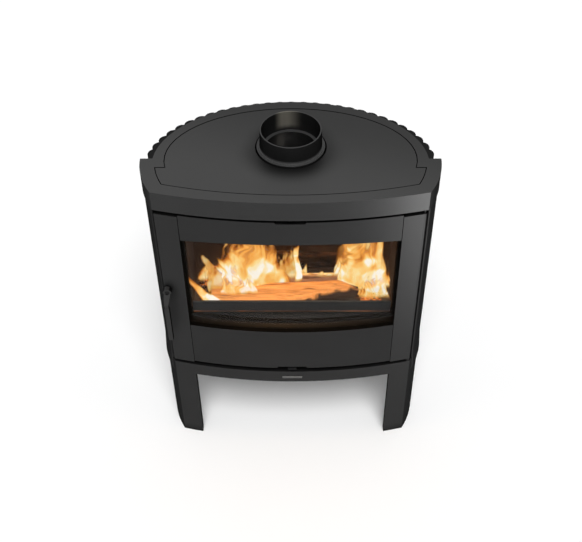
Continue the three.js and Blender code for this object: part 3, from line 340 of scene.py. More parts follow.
# pairs are where an effect starts and is full: facing, shade, height and radius in metres, turn in radians
paintShape = dict(sheen=(0.35, 0.8), mottled=(0.3, 0.7), up=(0.4, 0.85), upMottle=0.06, side=(0.4, 0.65),
                  roughSpread=0.04, rubGloss=0.08, bumpDepth=0.0004)
rearMark = dict(fade=(-0.14, 0.17), slant=0.3)
flueShadow = dict(near=(0.084, 0.15), forward=(0.2, -0.9), colour=grey(0.002))
beadMark = dict(top=(0.9325, 0.93), foot=(0.9225, 0.925), inner=(0.0745, 0.075), outer=(0.0825, 0.0815))
streakHighlightMark = dict(bore=(0.0745, 0.074), high=(0.92, 0.938), left=(-0.62, -0.3), right=(-0.18, 0.42),
                  lineScale=40.0, lineShade=0.8)
glowMark = dict(foot=(0.475, 0.4725), patches=(0.42, 0.66), patchScale=9.0, faint=0.15)
flueAxisY = sum(corner[1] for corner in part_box("flue_collar")) / 2


def markByFlue(tree, painted, settings):
    # turn and radius about the flue's own axis
    place = splitAxes(objectSpace(tree))
    behind = less(place["Y"], flueAxisY)
    squares = added(calc("POWER", place["X"], 2.0), calc("POWER", behind, 2.0))
    radius = calc("SQRT", squares)
    if "flueShadow" in settings:
        # painted shadow of the flue, darkening the plate in front of it
        near = ramp(radius, *flueShadow["near"], 1.0, 0.0, True)
        forward = ramp(calc("DIVIDE", behind, radius), *flueShadow["forward"], 0.0, settings["flueShadow"])
        painted = mixColour(product(near, forward), painted, flueShadow["colour"])
    if "streak" in settings:
        # a painted highlight as a light bead round the foot, and a painted warm grey reflection streak down the
        # inside
        bead = product(ramp(place["Z"], *beadMark["top"]), ramp(place["Z"], *beadMark["foot"]))
        ring = product(ramp(radius, *beadMark["inner"]), ramp(radius, *beadMark["outer"]))
        painted = mixColour(product(bead, ring), painted, settings["bead"])
        turn = calc("ARCTAN2", place["X"], behind)
        highlighted = product(ramp(turn, *streakHighlightMark["left"], smooth=True),
                       ramp(turn, *streakHighlightMark["right"], 1.0, 0.0, True),
                       ramp(radius, *streakHighlightMark["bore"]),
                       ramp(place["Z"], *streakHighlightMark["high"], smooth=True))
        lines = ramp(noiseNode(turn, streakHighlightMark["lineScale"], 2.0, 0.5), *paintShape["mottled"],
                     streakHighlightMark["lineShade"], 1.0)
        painted = mixColour(product(highlighted, lines), painted, settings["streak"])
    return painted


def glowAtFoot(tree, shader, colour):
    # painted firelight: a glow on the plate's foot where light would leak out under it
    place = objectSpace(tree)
    uneven = noiseNode(stretched(place, (glowMark["patchScale"], 0.0, 0.0)), 1.0, 3.0, 0.6)
    patches = ramp(uneven, *glowMark["patches"], glowMark["faint"], 1.0, True)
    leak = product(ramp(splitAxes(place)["Z"], *glowMark["foot"]), patches)
    setInputs(shader, Emission_Color=mixColour(leak, black, colour), Emission_Strength=1.0)


def castingFinish(name, settings):
    material, tree, shader = newMaterial(name, Metallic=settings.get("metal", 0.0), Specular_IOR_Level=0.0,
                                         Coat_Roughness=settings["coatRoughness"])
    # the paint's sheen dies away where it is seen edge on
    facing = addNode(tree, "LayerWeight", Blend=0.5).outputs["Facing"]
    plug(ramp(facing, *paintShape["sheen"], settings["coat"], 0.0), shader["Coat Weight"])
    grain = useGroup(tree, castingGrain, Grain_Size=settings["grainSize"], Mottle_Size=settings["mottleSize"])
    normal = splitAxes(surfaceNormal(tree))
    painted = mixColour(ramp(grain["Mottle"], *paintShape["mottled"]),
                        scaled(settings["colour"], 1 - settings["mottle"]),
                        scaled(settings["colour"], 1 + settings["mottle"]))
    # edges painted lighter: partly wear, partly a painted highlight
    rubAndHighlight = useGroup(tree, edgeWearAndHighlight, Width=edgeWearHighlightShape["width"], Amount=settings["rubAndHighlight"])["Mask"]
    painted = mixColour(rubAndHighlight, painted, settings["rubHighlightColour"])
    # faces that look up take their own colour: lighter as painted top light on the top plate, collar ring and
    # sill, darker as painted shade on the fluted back and the door rail
    if "upColour" in settings:
        upward = mixColour(grain["Mottle"], scaled(settings["upColour"], 1 - paintShape["upMottle"]),
                           scaled(settings["upColour"], 1 + paintShape["upMottle"]))
        up = ramp(normal["Z"], *settings.get("up", paintShape["up"]))
        painted = mixColour(up, painted, upward)
    if "sideShadeColour" in settings:
        # painted shade: the two sides that face along X are painted near black
        side = ramp(calc("ABSOLUTE", normal["X"]), *paintShape["side"])
        painted = mixColour(side, painted, settings["sideShadeColour"])
    if "rearShade" in settings:
        # painted shade: the paint darkens towards the back and a little towards the right
        place = splitAxes(objectSpace(tree))
        slantwise = calc("MULTIPLY_ADD", place["X"], rearMark["slant"], place["Y"])
        fade = ramp(slantwise, *rearMark["fade"], 0.0, settings["rearShade"], True)
        painted = mixColour(fade, painted, black)
    if "flueShadow" in settings or "streak" in settings:
        painted = markByFlue(tree, painted, settings)
    # painted contact shade darkens the paint near other pieces
    if "contactShadeReach" in settings:
        unshaded = useGroup(tree, paintedContactShade, Reach=settings["contactShadeReach"], Full=contactShadeShape["full"])["Clean"]
        painted = mixColour(unshaded, black, painted)
    # painted firelight glow along the foot
    if "footGlow" in settings:
        glowAtFoot(tree, shader, settings["footGlow"])
    rough, spread = settings["roughness"], paintShape["roughSpread"]
    uneven = ramp(grain["Mottle"], *paintShape["mottled"], rough - spread, rough + spread)
    setInputs(shader, Base_Color=painted, Roughness=less(uneven, product(rubAndHighlight, paintShape["rubGloss"])),
              Normal=bumpNode(grain["Height"], settings["bump"], paintShape["bumpDepth"]))
    return material


# finishes of brick, rope and glass

brick = dict(colour=(0.19, 0.115, 0.06), soot=(0.018, 0.009, 0.0045), ash=(0.2, 0.18, 0.16), ashAmount=0.35,
             ashScale=45.0, sootHeight=(0.455, 0.53), sootWaver=0.03, sootShare=(0.72, 0.985), fleck=0.75,
             flecked=(0.35, 0.65), grainSize=260.0, mottleSize=18.0, roughness=0.93, bump=0.5, bumpDepth=0.0012)


def brickFinish():
    material, tree, shader = newMaterial("firebrick", Specular_IOR_Level=0.1, Roughness=brick["roughness"])
    grain = useGroup(tree, castingGrain, Grain_Size=brick["grainSize"], Mottle_Size=brick["mottleSize"])
    waver = ramp(grain["Mottle"], *paintShape["mottled"], -brick["sootWaver"], brick["sootWaver"])
    height = added(splitAxes(objectSpace(tree))["Z"], waver)
    soot = ramp(height, *brick["sootHeight"], *brick["sootShare"], True)
    flecks = mixColour(ramp(grain["Mottle"], *brick["flecked"]), scaled(brick["colour"], brick["fleck"]),
                       brick["colour"])
    sooted = mixColour(soot, flecks, brick["soot"])
    ash = useGroup(tree, ashFall, Amount=brick["ashAmount"], Scale=brick["ashScale"])["Mask"]
    setInputs(shader, Base_Color=mixColour(ash, sooted, brick["ash"]),
              Normal=bumpNode(grain["Height"], brick["bump"], brick["bumpDepth"]))
    return material


ropes = {
    "ropeSeal": dict(colour=(0.06, 0.056, 0.05), dark=(0.016, 0.014, 0.012), yarn=420.0, sheen=0.15),
    "glassTape": dict(colour=(0.012, 0.011, 0.01), dark=grey(0.003), yarn=520.0, sheen=0.02),
}
ropeShape = dict(distortion=2.5, fuzzScale=900.0, fuzz=0.6, bump=0.6, bumpDepth=0.0005)


def ropeFinish(name, rope):
    material, tree, shader = newMaterial(name, Specular_IOR_Level=0.08, Roughness=0.95,
                                         Sheen_Weight=rope["sheen"])
    yarns = addNode(tree, "TexWave", wave_type="BANDS", bands_direction="DIAGONAL", Scale=rope["yarn"],
                    Distortion=ropeShape["distortion"], Detail=2.0, Vector=objectSpace(tree)).outputs["Fac"]
    fuzz = product(noiseNode(objectSpace(tree), ropeShape["fuzzScale"], 4.0, 0.7), ropeShape["fuzz"])
    setInputs(shader, Base_Color=mixColour(yarns, rope["dark"], rope["colour"]),
              Normal=bumpNode(added(yarns, fuzz), ropeShape["bump"], ropeShape["bumpDepth"]))
    return material


glass = dict(colour=(0.97, 0.95, 0.92, 1.0), shadow=(0.75, 0.72, 0.68, 1.0), roughness=0.02, ior=1.12)


def glassFinish():
    material, tree = newMaterial("stoveGlass", Roughness=glass["roughness"], IOR=glass["ior"],
                                 Transmission_Weight=1.0, Base_Color=glass["colour"])[:2]
    clear = addNode(tree, "BsdfTransparent", Color=glass["shadow"])
    rays = addNode(tree, "LightPath").outputs
    unseen = calc("MAXIMUM", rays["Is Shadow Ray"], rays["Is Diffuse Ray"])
    mixed = fill(addNode(tree, "MixShader"),
                 (unseen, tree.nodes["Principled BSDF"].outputs[0], clear.outputs[0]))
    plug(mixed, tree.nodes["Material Output"].inputs[0])
    return material


# finishes of split and burnt wood; places in metres

woods = {
    "split_wood": dict(light=(0.62, 0.3, 0.105), dark=(0.34, 0.145, 0.042), check=(0.15, 0.055, 0.018),
        char=(0.02, 0.012, 0.009), scorch=(0.16, 0.07, 0.05), glow=0.4, fibre=260.0, burntTop=False),
    "scorchedLog": dict(light=(0.44, 0.235, 0.14), dark=(0.24, 0.105, 0.05), check=(0.1, 0.045, 0.022),
        char=(0.012, 0.008, 0.006), scorch=(0.05, 0.025, 0.015), glow=0.42, fibre=200.0, burntTop=True),
}
woodShape = dict(stretch=16.0, grain=(0.36, 0.62), checkShade=0.8, rear=(0.15, 0.5), rearShade=0.75,
                 burnt=(0.45, 0.75), front=(-0.25, -0.6), glowLine=(0.512, 0.515),
                 charHeight=(0.4835, 0.475), charSlope=(-0.04, 0.18), charRise=0.024, waverScale=30.0,
                 waver=(0.3, 0.7), rearWaver=0.25, lineWaver=0.004, charWaver=0.006, bump=0.7, bumpDepth=0.0012)
glowLineColour = (1.0, 0.66, 0.26)


def woodFinish(name, wood):
    material, tree, shader = newMaterial(name, Specular_IOR_Level=0.15, Roughness=0.8, Emission_Strength=1.0)
    fibre = useGroup(tree, woodFibre, Fibre=wood["fibre"], Stretch=woodShape["stretch"])
    grain = mixColour(ramp(fibre["Grain"], *woodShape["grain"]), wood["dark"], wood["light"])
    checked = mixColour(product(fibre["Checks"], woodShape["checkShade"]), grain, wood["check"])
    place = splitAxes(objectSpace(tree))
    normal = splitAxes(surfaceNormal(tree))
    waver = noiseNode(objectSpace(tree), woodShape["waverScale"], 4.0, 0.6)

    def wavered(value, effect):
        amount = woodShape[effect]
        return added(value, ramp(waver, *woodShape["waver"], -amount, amount))

    # the side that faces the fire is scorched
    rear = ramp(wavered(normal["Y"], "rearWaver"), *woodShape["rear"])
    colour = mixColour(product(rear, woodShape["rearShade"]), checked, wood["scorch"])
    if wood["burntTop"]:
        # burnt through on top, with a thin live line along the front edge
        colour = mixColour(ramp(normal["Z"], *woodShape["burnt"]), colour, wood["char"])
        line = ramp(wavered(place["Z"], "lineWaver"), *woodShape["glowLine"])
        live = product(ramp(normal["Y"], *woodShape["front"]), line)
    else:
        # charred along the underside of the split-off end
        rise = ramp(place["X"], *woodShape["charSlope"], 0.0, woodShape["charRise"])
        char = ramp(less(wavered(place["Z"], "charWaver"), rise), *woodShape["charHeight"], smooth=True)
        colour = mixColour(char, colour, wood["char"])
        live = 0.0
    # painted firelight: the wood's own colour is also given off as a glow
    warm = mixColour(1.0, colour, grey(wood["glow"]), "MULTIPLY")
    setInputs(shader, Base_Color=colour, Emission_Color=mixColour(live, warm, glowLineColour),
              Normal=bumpNode(fibre["Height"], woodShape["bump"], woodShape["bumpDepth"]))
    return material


charred = {
    "blackLog": dict(char=(0.014, 0.008, 0.005), lit=(0.03, 0.014, 0.008), ash=(0.05, 0.035, 0.025),
        glow=0.12, ember=0.1, ashAmount=0.25),
    "emberCrust": dict(char=(0.03, 0.016, 0.01), lit=(0.3, 0.09, 0.025), ash=(0.16, 0.12, 0.1), glow=0.25,
        ember=1.0, ashAmount=0.35),
}
crustShape = dict(blocks=(42.0, 90.0, 90.0), patches=(18.0, 60.0, 60.0), cracks=(0.02, 0.14), crackShade=0.1,
                  lit=(0.4, 0.6), hot=(0.48, 0.62), crackHeat=0.8, bodyHeat=0.25, ashScale=70.0, bump=0.8,
                  bumpDepth=0.002)
emberColour = (1.0, 0.3, 0.06)


def charredFinish(name, settings):
    material, tree, shader = newMaterial(name, Specular_IOR_Level=0.1, Roughness=0.92, Emission_Strength=1.0)
    place = objectSpace(tree)
    blocks = addNode(tree, "TexVoronoi", feature="DISTANCE_TO_EDGE", Scale=1.0,
                     Vector=stretched(place, crustShape["blocks"]))
    cracks = ramp(blocks.outputs["Distance"], *crustShape["cracks"], 1.0, 0.0, True)
    patch = noiseNode(stretched(place, crustShape["patches"]), 1.0, 4.0, 0.6)
    ash = useGroup(tree, ashFall, Amount=settings["ashAmount"], Scale=crustShape["ashScale"])["Mask"]
    crust = mixColour(ramp(patch, *crustShape["lit"]), settings["char"], settings["lit"])
    dusted = mixColour(ash, crust, settings["ash"])
    cracked = mixColour(cracks, dusted, scaled(settings["char"], crustShape["crackShade"]))
    heat = product(ramp(patch, *crustShape["hot"], smooth=True), settings["ember"])
    spread = added(product(cracks, crustShape["crackHeat"]), crustShape["bodyHeat"])
    # painted firelight: the crust's own colour is also given off as a faint glow
    warm = mixColour(settings["glow"], black, cracked)
    setInputs(shader, Base_Color=cracked, Emission_Color=mixColour(product(spread, heat), warm, emberColour),
              Normal=bumpNode(less(patch, cracks), crustShape["bump"], crustShape["bumpDepth"]))
    return material


materials = {"firebrick": brickFinish(), "stove_glass": glassFinish()}
for finish, family in ((castingFinish, castings), (castingFinish, variants), (ropeFinish, ropes),
                       (woodFinish, woods), (charredFinish, charred)):
    materials.update({name: finish(name, settings) for name, settings in family.items()})
materials["rope_seal"] = materials["ropeSeal"]
materials["charred_wood"] = materials["blackLog"]
slotOfNode = {part["node"]: part["material_slot"] for part in frame["record"]["subparts"]}
finishOfNode = dict(slotOfNode)
for variant, nodeNames in nodesOfVariant.items():
    finishOfNode.update({nodeName: variant for nodeName in nodeNames})
for nodeName, piece in nodes.items():
    piece.data.materials.clear()
    piece.data.materials.append(materials[finishOfNode[nodeName]])
print("finishes set")


# softened edges on the castings, sheets and bricks, in metres

edgeWidths = {"cast_iron_top": 0.0011, "cast_iron_body": 0.0011, "collar_paint": 0.0007, "bare_steel": 0.0004,
              "sheet_steel": 0.0004, "firebrick": 0.001}
widerEdges = {"door_rail_bottom": 0.0022, "hearth_sill": 0.003}
edgeShape = dict(weld=0.00001, flatAngle=0.4, segments=2, sharpAngle=28, weight=50)


def softenEdges(piece, width):
    for polygon in piece.data.polygons:
        polygon.use_smooth = True
    setAll(piece.modifiers.new("weld", "WELD"), merge_threshold=edgeShape["weld"])
    setAll(piece.modifiers.new("flatFaces", "DECIMATE"), decimate_type="DISSOLVE",
           angle_limit=math.radians(edgeShape["flatAngle"]))
    setAll(piece.modifiers.new("edge", "BEVEL"), width=width, segments=edgeShape["segments"],
           limit_method="ANGLE", angle_limit=math.radians(edgeShape["sharpAngle"]))
    setAll(piece.modifiers.new("shade", "WEIGHTED_NORMAL"), weight=edgeShape["weight"])


for nodeName, piece in nodes.items():
    if slotOfNode[nodeName] in edgeWidths:
        softenEdges(piece, widerEdges.get(nodeName, edgeWidths[slotOfNode[nodeName]]))
print("edges softened")


def addPiece(name, vertices, faces, material, body="root", smooth=True):
    mesh = bpy.data.meshes.new(name)
    mesh.from_pydata([tuple(v) for v in vertices], [], faces)
    mesh.materials.append(material)
    for polygon in mesh.polygons:
        polygon.use_smooth = smooth
    piece = bpy.data.objects.new(name, mesh)
    scene.collection.objects.link(piece)
    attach(piece, body)
    return piece


# firewood: the place of each log comes from its node's box, and lengths are in metres

logs = {
    "split_log_front": dict(node="log_front", slot="split_wood", material="split_wood", turn=4.0,
        stations=90, fibre=0.0009, lump=0.0012, lift=0.02, drop=0.018, section=((-0.03, 0.007),
        (-0.026, 0.0005), (0.023, 0.0005), (0.029, 0.01), (0.027, 0.033), (0.017, 0.0425), (0.004, 0.041),
        (-0.028, 0.016))),
    "charred_log_middle": dict(node="log_middle", slot="charred_wood", material="scorchedLog", turn=2.5,
        stations=80, fibre=0.0012, lump=0.002, section=((-0.0235, 0.006), (-0.019, 0.0005), (0.015, 0.0005),
        (0.023, 0.01), (0.021, 0.028), (0.01, 0.036), (-0.012, 0.0455), (-0.0225, 0.0465))),
    "charred_log_back": dict(node="log_back", slot="charred_wood", material="blackLog", turn=-3.0,
        stations=80, fibre=0.0012, lump=0.003, section=((-0.021, 0.01), (-0.014, 0.0005), (0.013, 0.0005),
        (0.022, 0.01), (0.02, 0.03), (0.009, 0.041), (-0.008, 0.042), (-0.02, 0.026))),
}
# the right-hand end of a split log rises from below and then falls from above
wedge = dict(liftFrom=0.45, dropFrom=0.8, thin=0.03, thicker=0.016, thickBy=0.7)
bark = dict(lumpScale=9, lumpAround=1.6, fibreLength=12, fibreAcross=420, sink=0.0012, clear=0.0002)
logEnds = dict(slant=0.01, slantSide=0.03, leftShare=-0.6, slantPower=6, ragged=0.003, raggedScale=300,
               raggedPower=12)


def roundedSection(corners, cut=0.22, perCorner=3, perEdge=7):
    # closed outline with softened corners, evenly divided
    points = []
    count = len(corners)
    for i in range(count):
        before, here, after = (Vector(corners[(i + k) % count]) for k in (-1, 0, 1))
        first, last, following = here.lerp(before, cut), here.lerp(after, cut), after.lerp(here, cut)
        for step in range(perCorner):
            t = step / perCorner
            points.append(first.lerp(here, t).lerp(here.lerp(last, t), t))
        for step in range(perEdge):
            points.append(last.lerp(following, step / perEdge))
    return points


def logPoint(point, out, x, along, seed, settings, halfLength):
    # one place on the bark: along the log, across it and up
    lump = noise.noise(Vector((x * bark["lumpScale"], *(out * bark["lumpAround"]))) + seed) * settings["lump"]
    grain = Vector((x * bark["fibreLength"], *(point * bark["fibreAcross"])))
    fibre = noise.noise(grain + seed) * settings["fibre"]
    moved = point + out * (lump + fibre - bark["sink"])
    nearEnd = abs(2 * along - 1)
    slant = (logEnds["slant"] * (moved.x / logEnds["slantSide"]) * (1 if along > 0.5 else logEnds["leftShare"])
             * nearEnd ** logEnds["slantPower"])
    splinter = Vector((*(moved * logEnds["raggedScale"]), along * 3))
    ragged = noise.noise(splinter + seed) * logEnds["ragged"]
    shift = ragged * nearEnd ** logEnds["raggedPower"] - slant
    if "lift" in settings:
        under = settings["lift"] * max(0.0, (along - wedge["liftFrom"]) / (1 - wedge["liftFrom"]))
        over = wedge["thin"] + wedge["thicker"] * min(1.0, along / wedge["thickBy"]) + fibre
        over -= settings["drop"] * max(0.0, (along - wedge["dropFrom"]) / (1 - wedge["dropFrom"]))
        moved.y = min(max(moved.y, under), over)
    return max(-halfLength, min(halfLength, x + shift)), moved.x, max(bark["clear"], moved.y)


def buildLog(name, settings):
    low, high = (Vector(corner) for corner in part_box(settings["node"]))
    centre = (low + high) / 2
    turn = math.radians(settings["turn"])
    width = high.y - low.y - abs(math.sin(turn)) * (high.x - low.x)
    length = (high.x - low.x) - abs(math.sin(turn)) * width
    section = roundedSection(settings["section"])
    middle = sum(section, Vector((0.0, 0.0))) / len(section)
    around, stations = len(section), settings["stations"]
    seed = Vector((len(name) * 3.7, settings["turn"] * 5.1, 2.3))
    vertices, faces = [], []
    for i in range(stations + 1):
        along = i / stations
        for point in section:
            out = (point - middle).normalized()
            x, y, z = logPoint(point, out, (along - 0.5) * length, along, seed, settings, length / 2)
            vertices.append(Vector((centre.x + x * math.cos(turn) - y * math.sin(turn),
                                    centre.y + x * math.sin(turn) + y * math.cos(turn), low.z + z)))
    for i in range(stations):
        for k in range(around):
            a, b = i * around + k, i * around + (k + 1) % around
            faces.append((a, b, b + around, a + around))
    for start, flip in ((0, True), (stations * around, False)):
        ring = list(range(start, start + around))
        vertices.append(sum((vertices[r] for r in ring), Vector()) / around)
        hub = len(vertices) - 1
        for a, b in zip(ring, ring[1:] + ring[:1]):
            faces.append((hub, b, a) if flip else (hub, a, b))
    piece = addPiece(name, vertices, faces, materials[settings["material"]])
    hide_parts(settings["node"])


for name, settings in logs.items():
    buildLog(name, settings)
print("firewood laid")


# door seal: three strands laid up round the bowed ring, in metres

seal = dict(node="door_rope_seal", halfWidth=0.006, halfDepth=0.0032, pitch=0.03, steps=10, strands=3, sides=7,
            corner=0.014, cornerSteps=8, lay=0.46, strand=0.54, sink=0.94)


def sealPath(low, high, spacing):
    # rounded rectangle in the door's plane, walked in even steps: place and direction
    inset = (high.x - low.x) / 2 - seal["halfWidth"]
    halfTall = (high.z - low.z) / 2 - seal["halfWidth"]
    middleZ = (high.z + low.z) / 2
    corner = seal["corner"]
    outline = []
    for x, z, start in ((1, 1, 0), (-1, 1, 90), (-1, -1, 180), (1, -1, 270)):
        for step in range(seal["cornerSteps"] + 1):
            angle = math.radians(start + step * 90 / seal["cornerSteps"])
            outline.append(Vector((x * (inset - corner) + corner * math.cos(angle),
                                   z * (halfTall - corner) + corner * math.sin(angle))))
    lengths = [(outline[(i + 1) % len(outline)] - point).length for i, point in enumerate(outline)]
    total = sum(lengths)
    count = round(total / spacing)
    places, index, gone = [], 0, 0.0
    for i in range(count):
        target = total * i / count
        while gone + lengths[index] < target:
            gone += lengths[index]
            index += 1
        ahead = outline[(index + 1) % len(outline)] - outline[index]
        point = outline[index] + ahead * ((target - gone) / lengths[index])
        places.append((point.x, point.y + middleZ, ahead.normalized()))
    return places, total


def buildSeal():
    low, high = (Vector(corner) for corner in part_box(seal["node"]))
    bowDepth = (high.y - low.y) - 2 * seal["halfDepth"]
    halfSpan = (high.x - low.x) / 2
    bowRadius = (halfSpan ** 2 + bowDepth ** 2) / (2 * bowDepth)
    places, total = sealPath(low, high, seal["pitch"] / seal["steps"])
    turns = round(total / seal["pitch"])
    count, sides = len(places), seal["sides"]
    vertices, faces = [], []
    for strand in range(seal["strands"]):
        start = len(vertices)
        for i, (x, z, ahead) in enumerate(places):
            inward = math.sqrt(bowRadius ** 2 - x * x)
            y = low.y + seal["halfDepth"] + bowRadius - inward
            lean = x / inward
            twist = 2 * math.pi * (turns * i / count + strand / seal["strands"])
            for side in range(sides):
                angle = 2 * math.pi * side / sides
                across = seal["lay"] * math.cos(twist) + seal["strand"] * math.cos(angle)
                deep = seal["lay"] * math.sin(twist) + seal["strand"] * math.sin(angle)
                across *= seal["halfWidth"] * seal["sink"]
                deep *= seal["halfDepth"] * seal["sink"]
                dx, dz = ahead.y * across, -ahead.x * across
                vertices.append((x + dx, y + deep + lean * dx, z + dz))
        for i in range(count):
            here, following = start + i * sides, start + (i + 1) % count * sides
            for side in range(sides):
                beside = (side + 1) % sides
                faces.append((here + side, here + beside, following + beside, following + side))
    piece = addPiece("rope_seal_laid", vertices, faces, materials["ropeSeal"], body="door")
    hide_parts(seal["node"])


buildSeal()
print("door seal laid up")


# loose embers and charcoal on the hearth, in metres

embers = dict(seed=7, count=150, hearth=0.4706, left=-0.252, right=0.252, front=-0.108, back=0.058,
              small=0.004, large=0.011, flattest=0.45, roundest=0.75, ragged=0.7, cutCorner=0.262)


def buildEmbers():
    dice = random.Random(embers["seed"])
    ico = [(0, 0, -1), (0.72, -0.53, -0.45), (-0.28, -0.85, -0.45), (-0.89, 0, -0.45), (-0.28, 0.85, -0.45),
           (0.72, 0.53, -0.45), (0.28, -0.85, 0.45), (-0.72, -0.53, 0.45), (-0.72, 0.53, 0.45),
           (0.28, 0.85, 0.45), (0.89, 0, 0.45), (0, 0, 1)]
    icoFaces = [(0, 2, 1), (1, 5, 0), (0, 3, 2), (0, 4, 3), (0, 5, 4), (1, 10, 5), (2, 6, 1), (3, 7, 2),
                (4, 8, 3), (5, 9, 4), (1, 6, 10), (2, 7, 6), (3, 8, 7), (4, 9, 8), (5, 10, 9), (6, 11, 10),
                (7, 11, 6), (8, 11, 7), (9, 11, 8), (10, 11, 9)]
    logBoxes = [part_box(settings["node"]) for settings in logs.values()]
    vertices, faces = [], []
    while len(faces) < embers["count"] * len(icoFaces):
        size = dice.uniform(embers["small"], embers["large"])
        x = dice.uniform(embers["left"], embers["right"])
        y = dice.uniform(embers["front"], embers["back"])
        # keep clear of the logs' footprints and of the cut back corners
        inLog = any(low[0] - size < x < high[0] + size and low[1] - size < y < high[1] + size
                    for low, high in logBoxes)
        if inLog or abs(x) + max(0.0, y) > embers["cutCorner"]:
            continue
        turn = dice.uniform(0, 2 * math.pi)
        start = len(vertices)
        flat = dice.uniform(embers["flattest"], embers["roundest"])
        for corner in ico:
            reach = size * dice.uniform(embers["ragged"], 1.0)
            px = corner[0] * math.cos(turn) - corner[1] * math.sin(turn)
            py = corner[0] * math.sin(turn) + corner[1] * math.cos(turn)
            z = embers["hearth"] + (corner[2] + 1) * reach * flat
            vertices.append((x + px * reach, y + py * reach, max(z, embers["hearth"])))
        faces += [tuple(start + index for index in face) for face in icoFaces]
    piece = addPiece("ember_bed", vertices, faces, materials["emberCrust"], smooth=False)


buildEmbers()
print("embers laid")


# flames: bowed, drawn-out curtains whose tongues rise and fall along their length

flameShape = dict(waverAlong=14.0, waverUp=12.0, bend=0.03, tipBend=0.1, streakUp=9.0, streakSeed=7.3,
                  fineScale=3.1, thin=1.6, ragged=2.2, cover=(0.08, 0.6), foot=(0.0, 0.022))
flameHeat = dict(full=0.9, body=0.42, streaks=1.2, base=-0.34, fine=0.26, fineBase=-0.13, least=0.6,
                 hotScale=1.5, hotFade=0.5, hot=(0.4, 0.56), hotGain=(-0.03, 0.3), coreHeight=(0.135, 0.06),
                 core=0.55, tip=0.12, thinShare=0.5)


def buildFlameBody():
    inputs = [("Seed", 0.0), ("Ragged", 0.4), ("Fine", 26.0), ("Hot Place", 0.0), ("Hot Width", 0.001)]
    group, given, result = newGroup("flameBody", inputs, ["Heat", "Cover"])
    along, rise, fringe, height = (addNode(group, "Attribute", attribute_name=label).outputs["Fac"]
                                   for label in ("along", "rise", "fringe", "height"))
    # slow waver bends the streaks, more so near the tips
    plane = joinAxes(product(along, flameShape["waverAlong"]), product(height, flameShape["waverUp"]),
                     given["Seed"])
    waver = less(noiseNode(plane, 1.0, 2.0, 0.5), 0.5)
    bend = calc("MULTIPLY_ADD", rise, flameShape["tipBend"], flameShape["bend"])
    bent = calc("MULTIPLY_ADD", waver, bend, along)
    streakPlane = joinAxes(product(bent, given["Fine"]), product(height, flameShape["streakUp"]),
                           added(given["Seed"], flameShape["streakSeed"]))
    streaks = noiseNode(streakPlane, 1.0, 2.5, 0.5, 0.9)
    fineStreaks = noiseNode(streakPlane, flameShape["fineScale"], 2.0, 0.5, 0.5)
    edges = product(less(streaks, 0.5), given["Ragged"], flameShape["ragged"])
    left = product(less(1.0, rise), flameShape["thin"])
    thickness = added(calc("MINIMUM", left, fringe), edges)
    cover = product(ramp(thickness, *flameShape["cover"], smooth=True),
                    ramp(height, *flameShape["foot"], smooth=True))
    full = calc("MINIMUM", thickness, flameHeat["full"])
    heat = calc("MULTIPLY_ADD", full, flameHeat["body"],
                calc("MULTIPLY_ADD", streaks, flameHeat["streaks"], flameHeat["base"]))
    heat = added(heat, calc("MULTIPLY_ADD", fineStreaks, flameHeat["fine"], flameHeat["fineBase"]))
    heat = calc("MAXIMUM", heat, product(full, flameHeat["least"]))
    # white-hot places low in the fire, and a core where the curtain asks for one
    patches = noiseNode(plane, flameHeat["hotScale"], 1.0, 0.5)
    patches = less(patches, product(height, flameHeat["hotFade"]))
    heat = added(heat, ramp(patches, *flameHeat["hot"], *flameHeat["hotGain"], True))
    away = calc("DIVIDE", less(bent, given["Hot Place"]), given["Hot Width"])
    core = calc("EXPONENT", product(away, away, -1.0))
    low = ramp(height, *flameHeat["coreHeight"], 0.0, flameHeat["core"], True)
    heat = added(heat, product(core, low))
    heat = less(heat, product(rise, flameHeat["tip"]))
    # thin fire is redder than deep fire
    share = flameHeat["thinShare"]
    setInputs(result, Heat=product(heat, calc("MULTIPLY_ADD", cover, share, 1 - share)), Cover=cover)
    return group


flameBody = buildFlameBody()
flameColours = ((0.0, (0.24, 0.055, 0.006)), (0.26, (0.62, 0.19, 0.024)), (0.44, (0.92, 0.4, 0.075)),
                (0.62, (1.0, 0.58, 0.16)), (0.8, (1.0, 0.75, 0.33)), (0.93, (1.0, 0.87, 0.6)),
                (1.0, (1.0, 0.95, 0.85)))


def flameFinish(name, settings):
    material, tree, shader = newMaterial(name, Base_Color=(*black, 1.0), Roughness=1.0,
                                         Specular_IOR_Level=0.0, Emission_Strength=settings["bright"])
    hotPlace, hotWidth = settings["hotPlace"]
    flame = useGroup(tree, flameBody, Seed=settings["seed"], Ragged=settings["ragged"], Fine=settings["fine"],
                     Hot_Place=hotPlace, Hot_Width=hotWidth)
    glow = addNode(tree, "ValToRGB")
    stops = glow.color_ramp.elements
    stops[0].position, stops[0].color = flameColours[0][0], (*flameColours[0][1], 1.0)
    stops[1].position, stops[1].color = flameColours[-1][0], (*flameColours[-1][1], 1.0)
    for place, colour in flameColours[1:-1]:
        stops.new(place).color = (*colour, 1.0)
    plug(product(flame["Heat"], settings["heat"]), glow.inputs[0])
    setInputs(shader, Emission_Color=glow.outputs[0], Alpha=product(flame["Cover"], settings["thick"]))
    return material


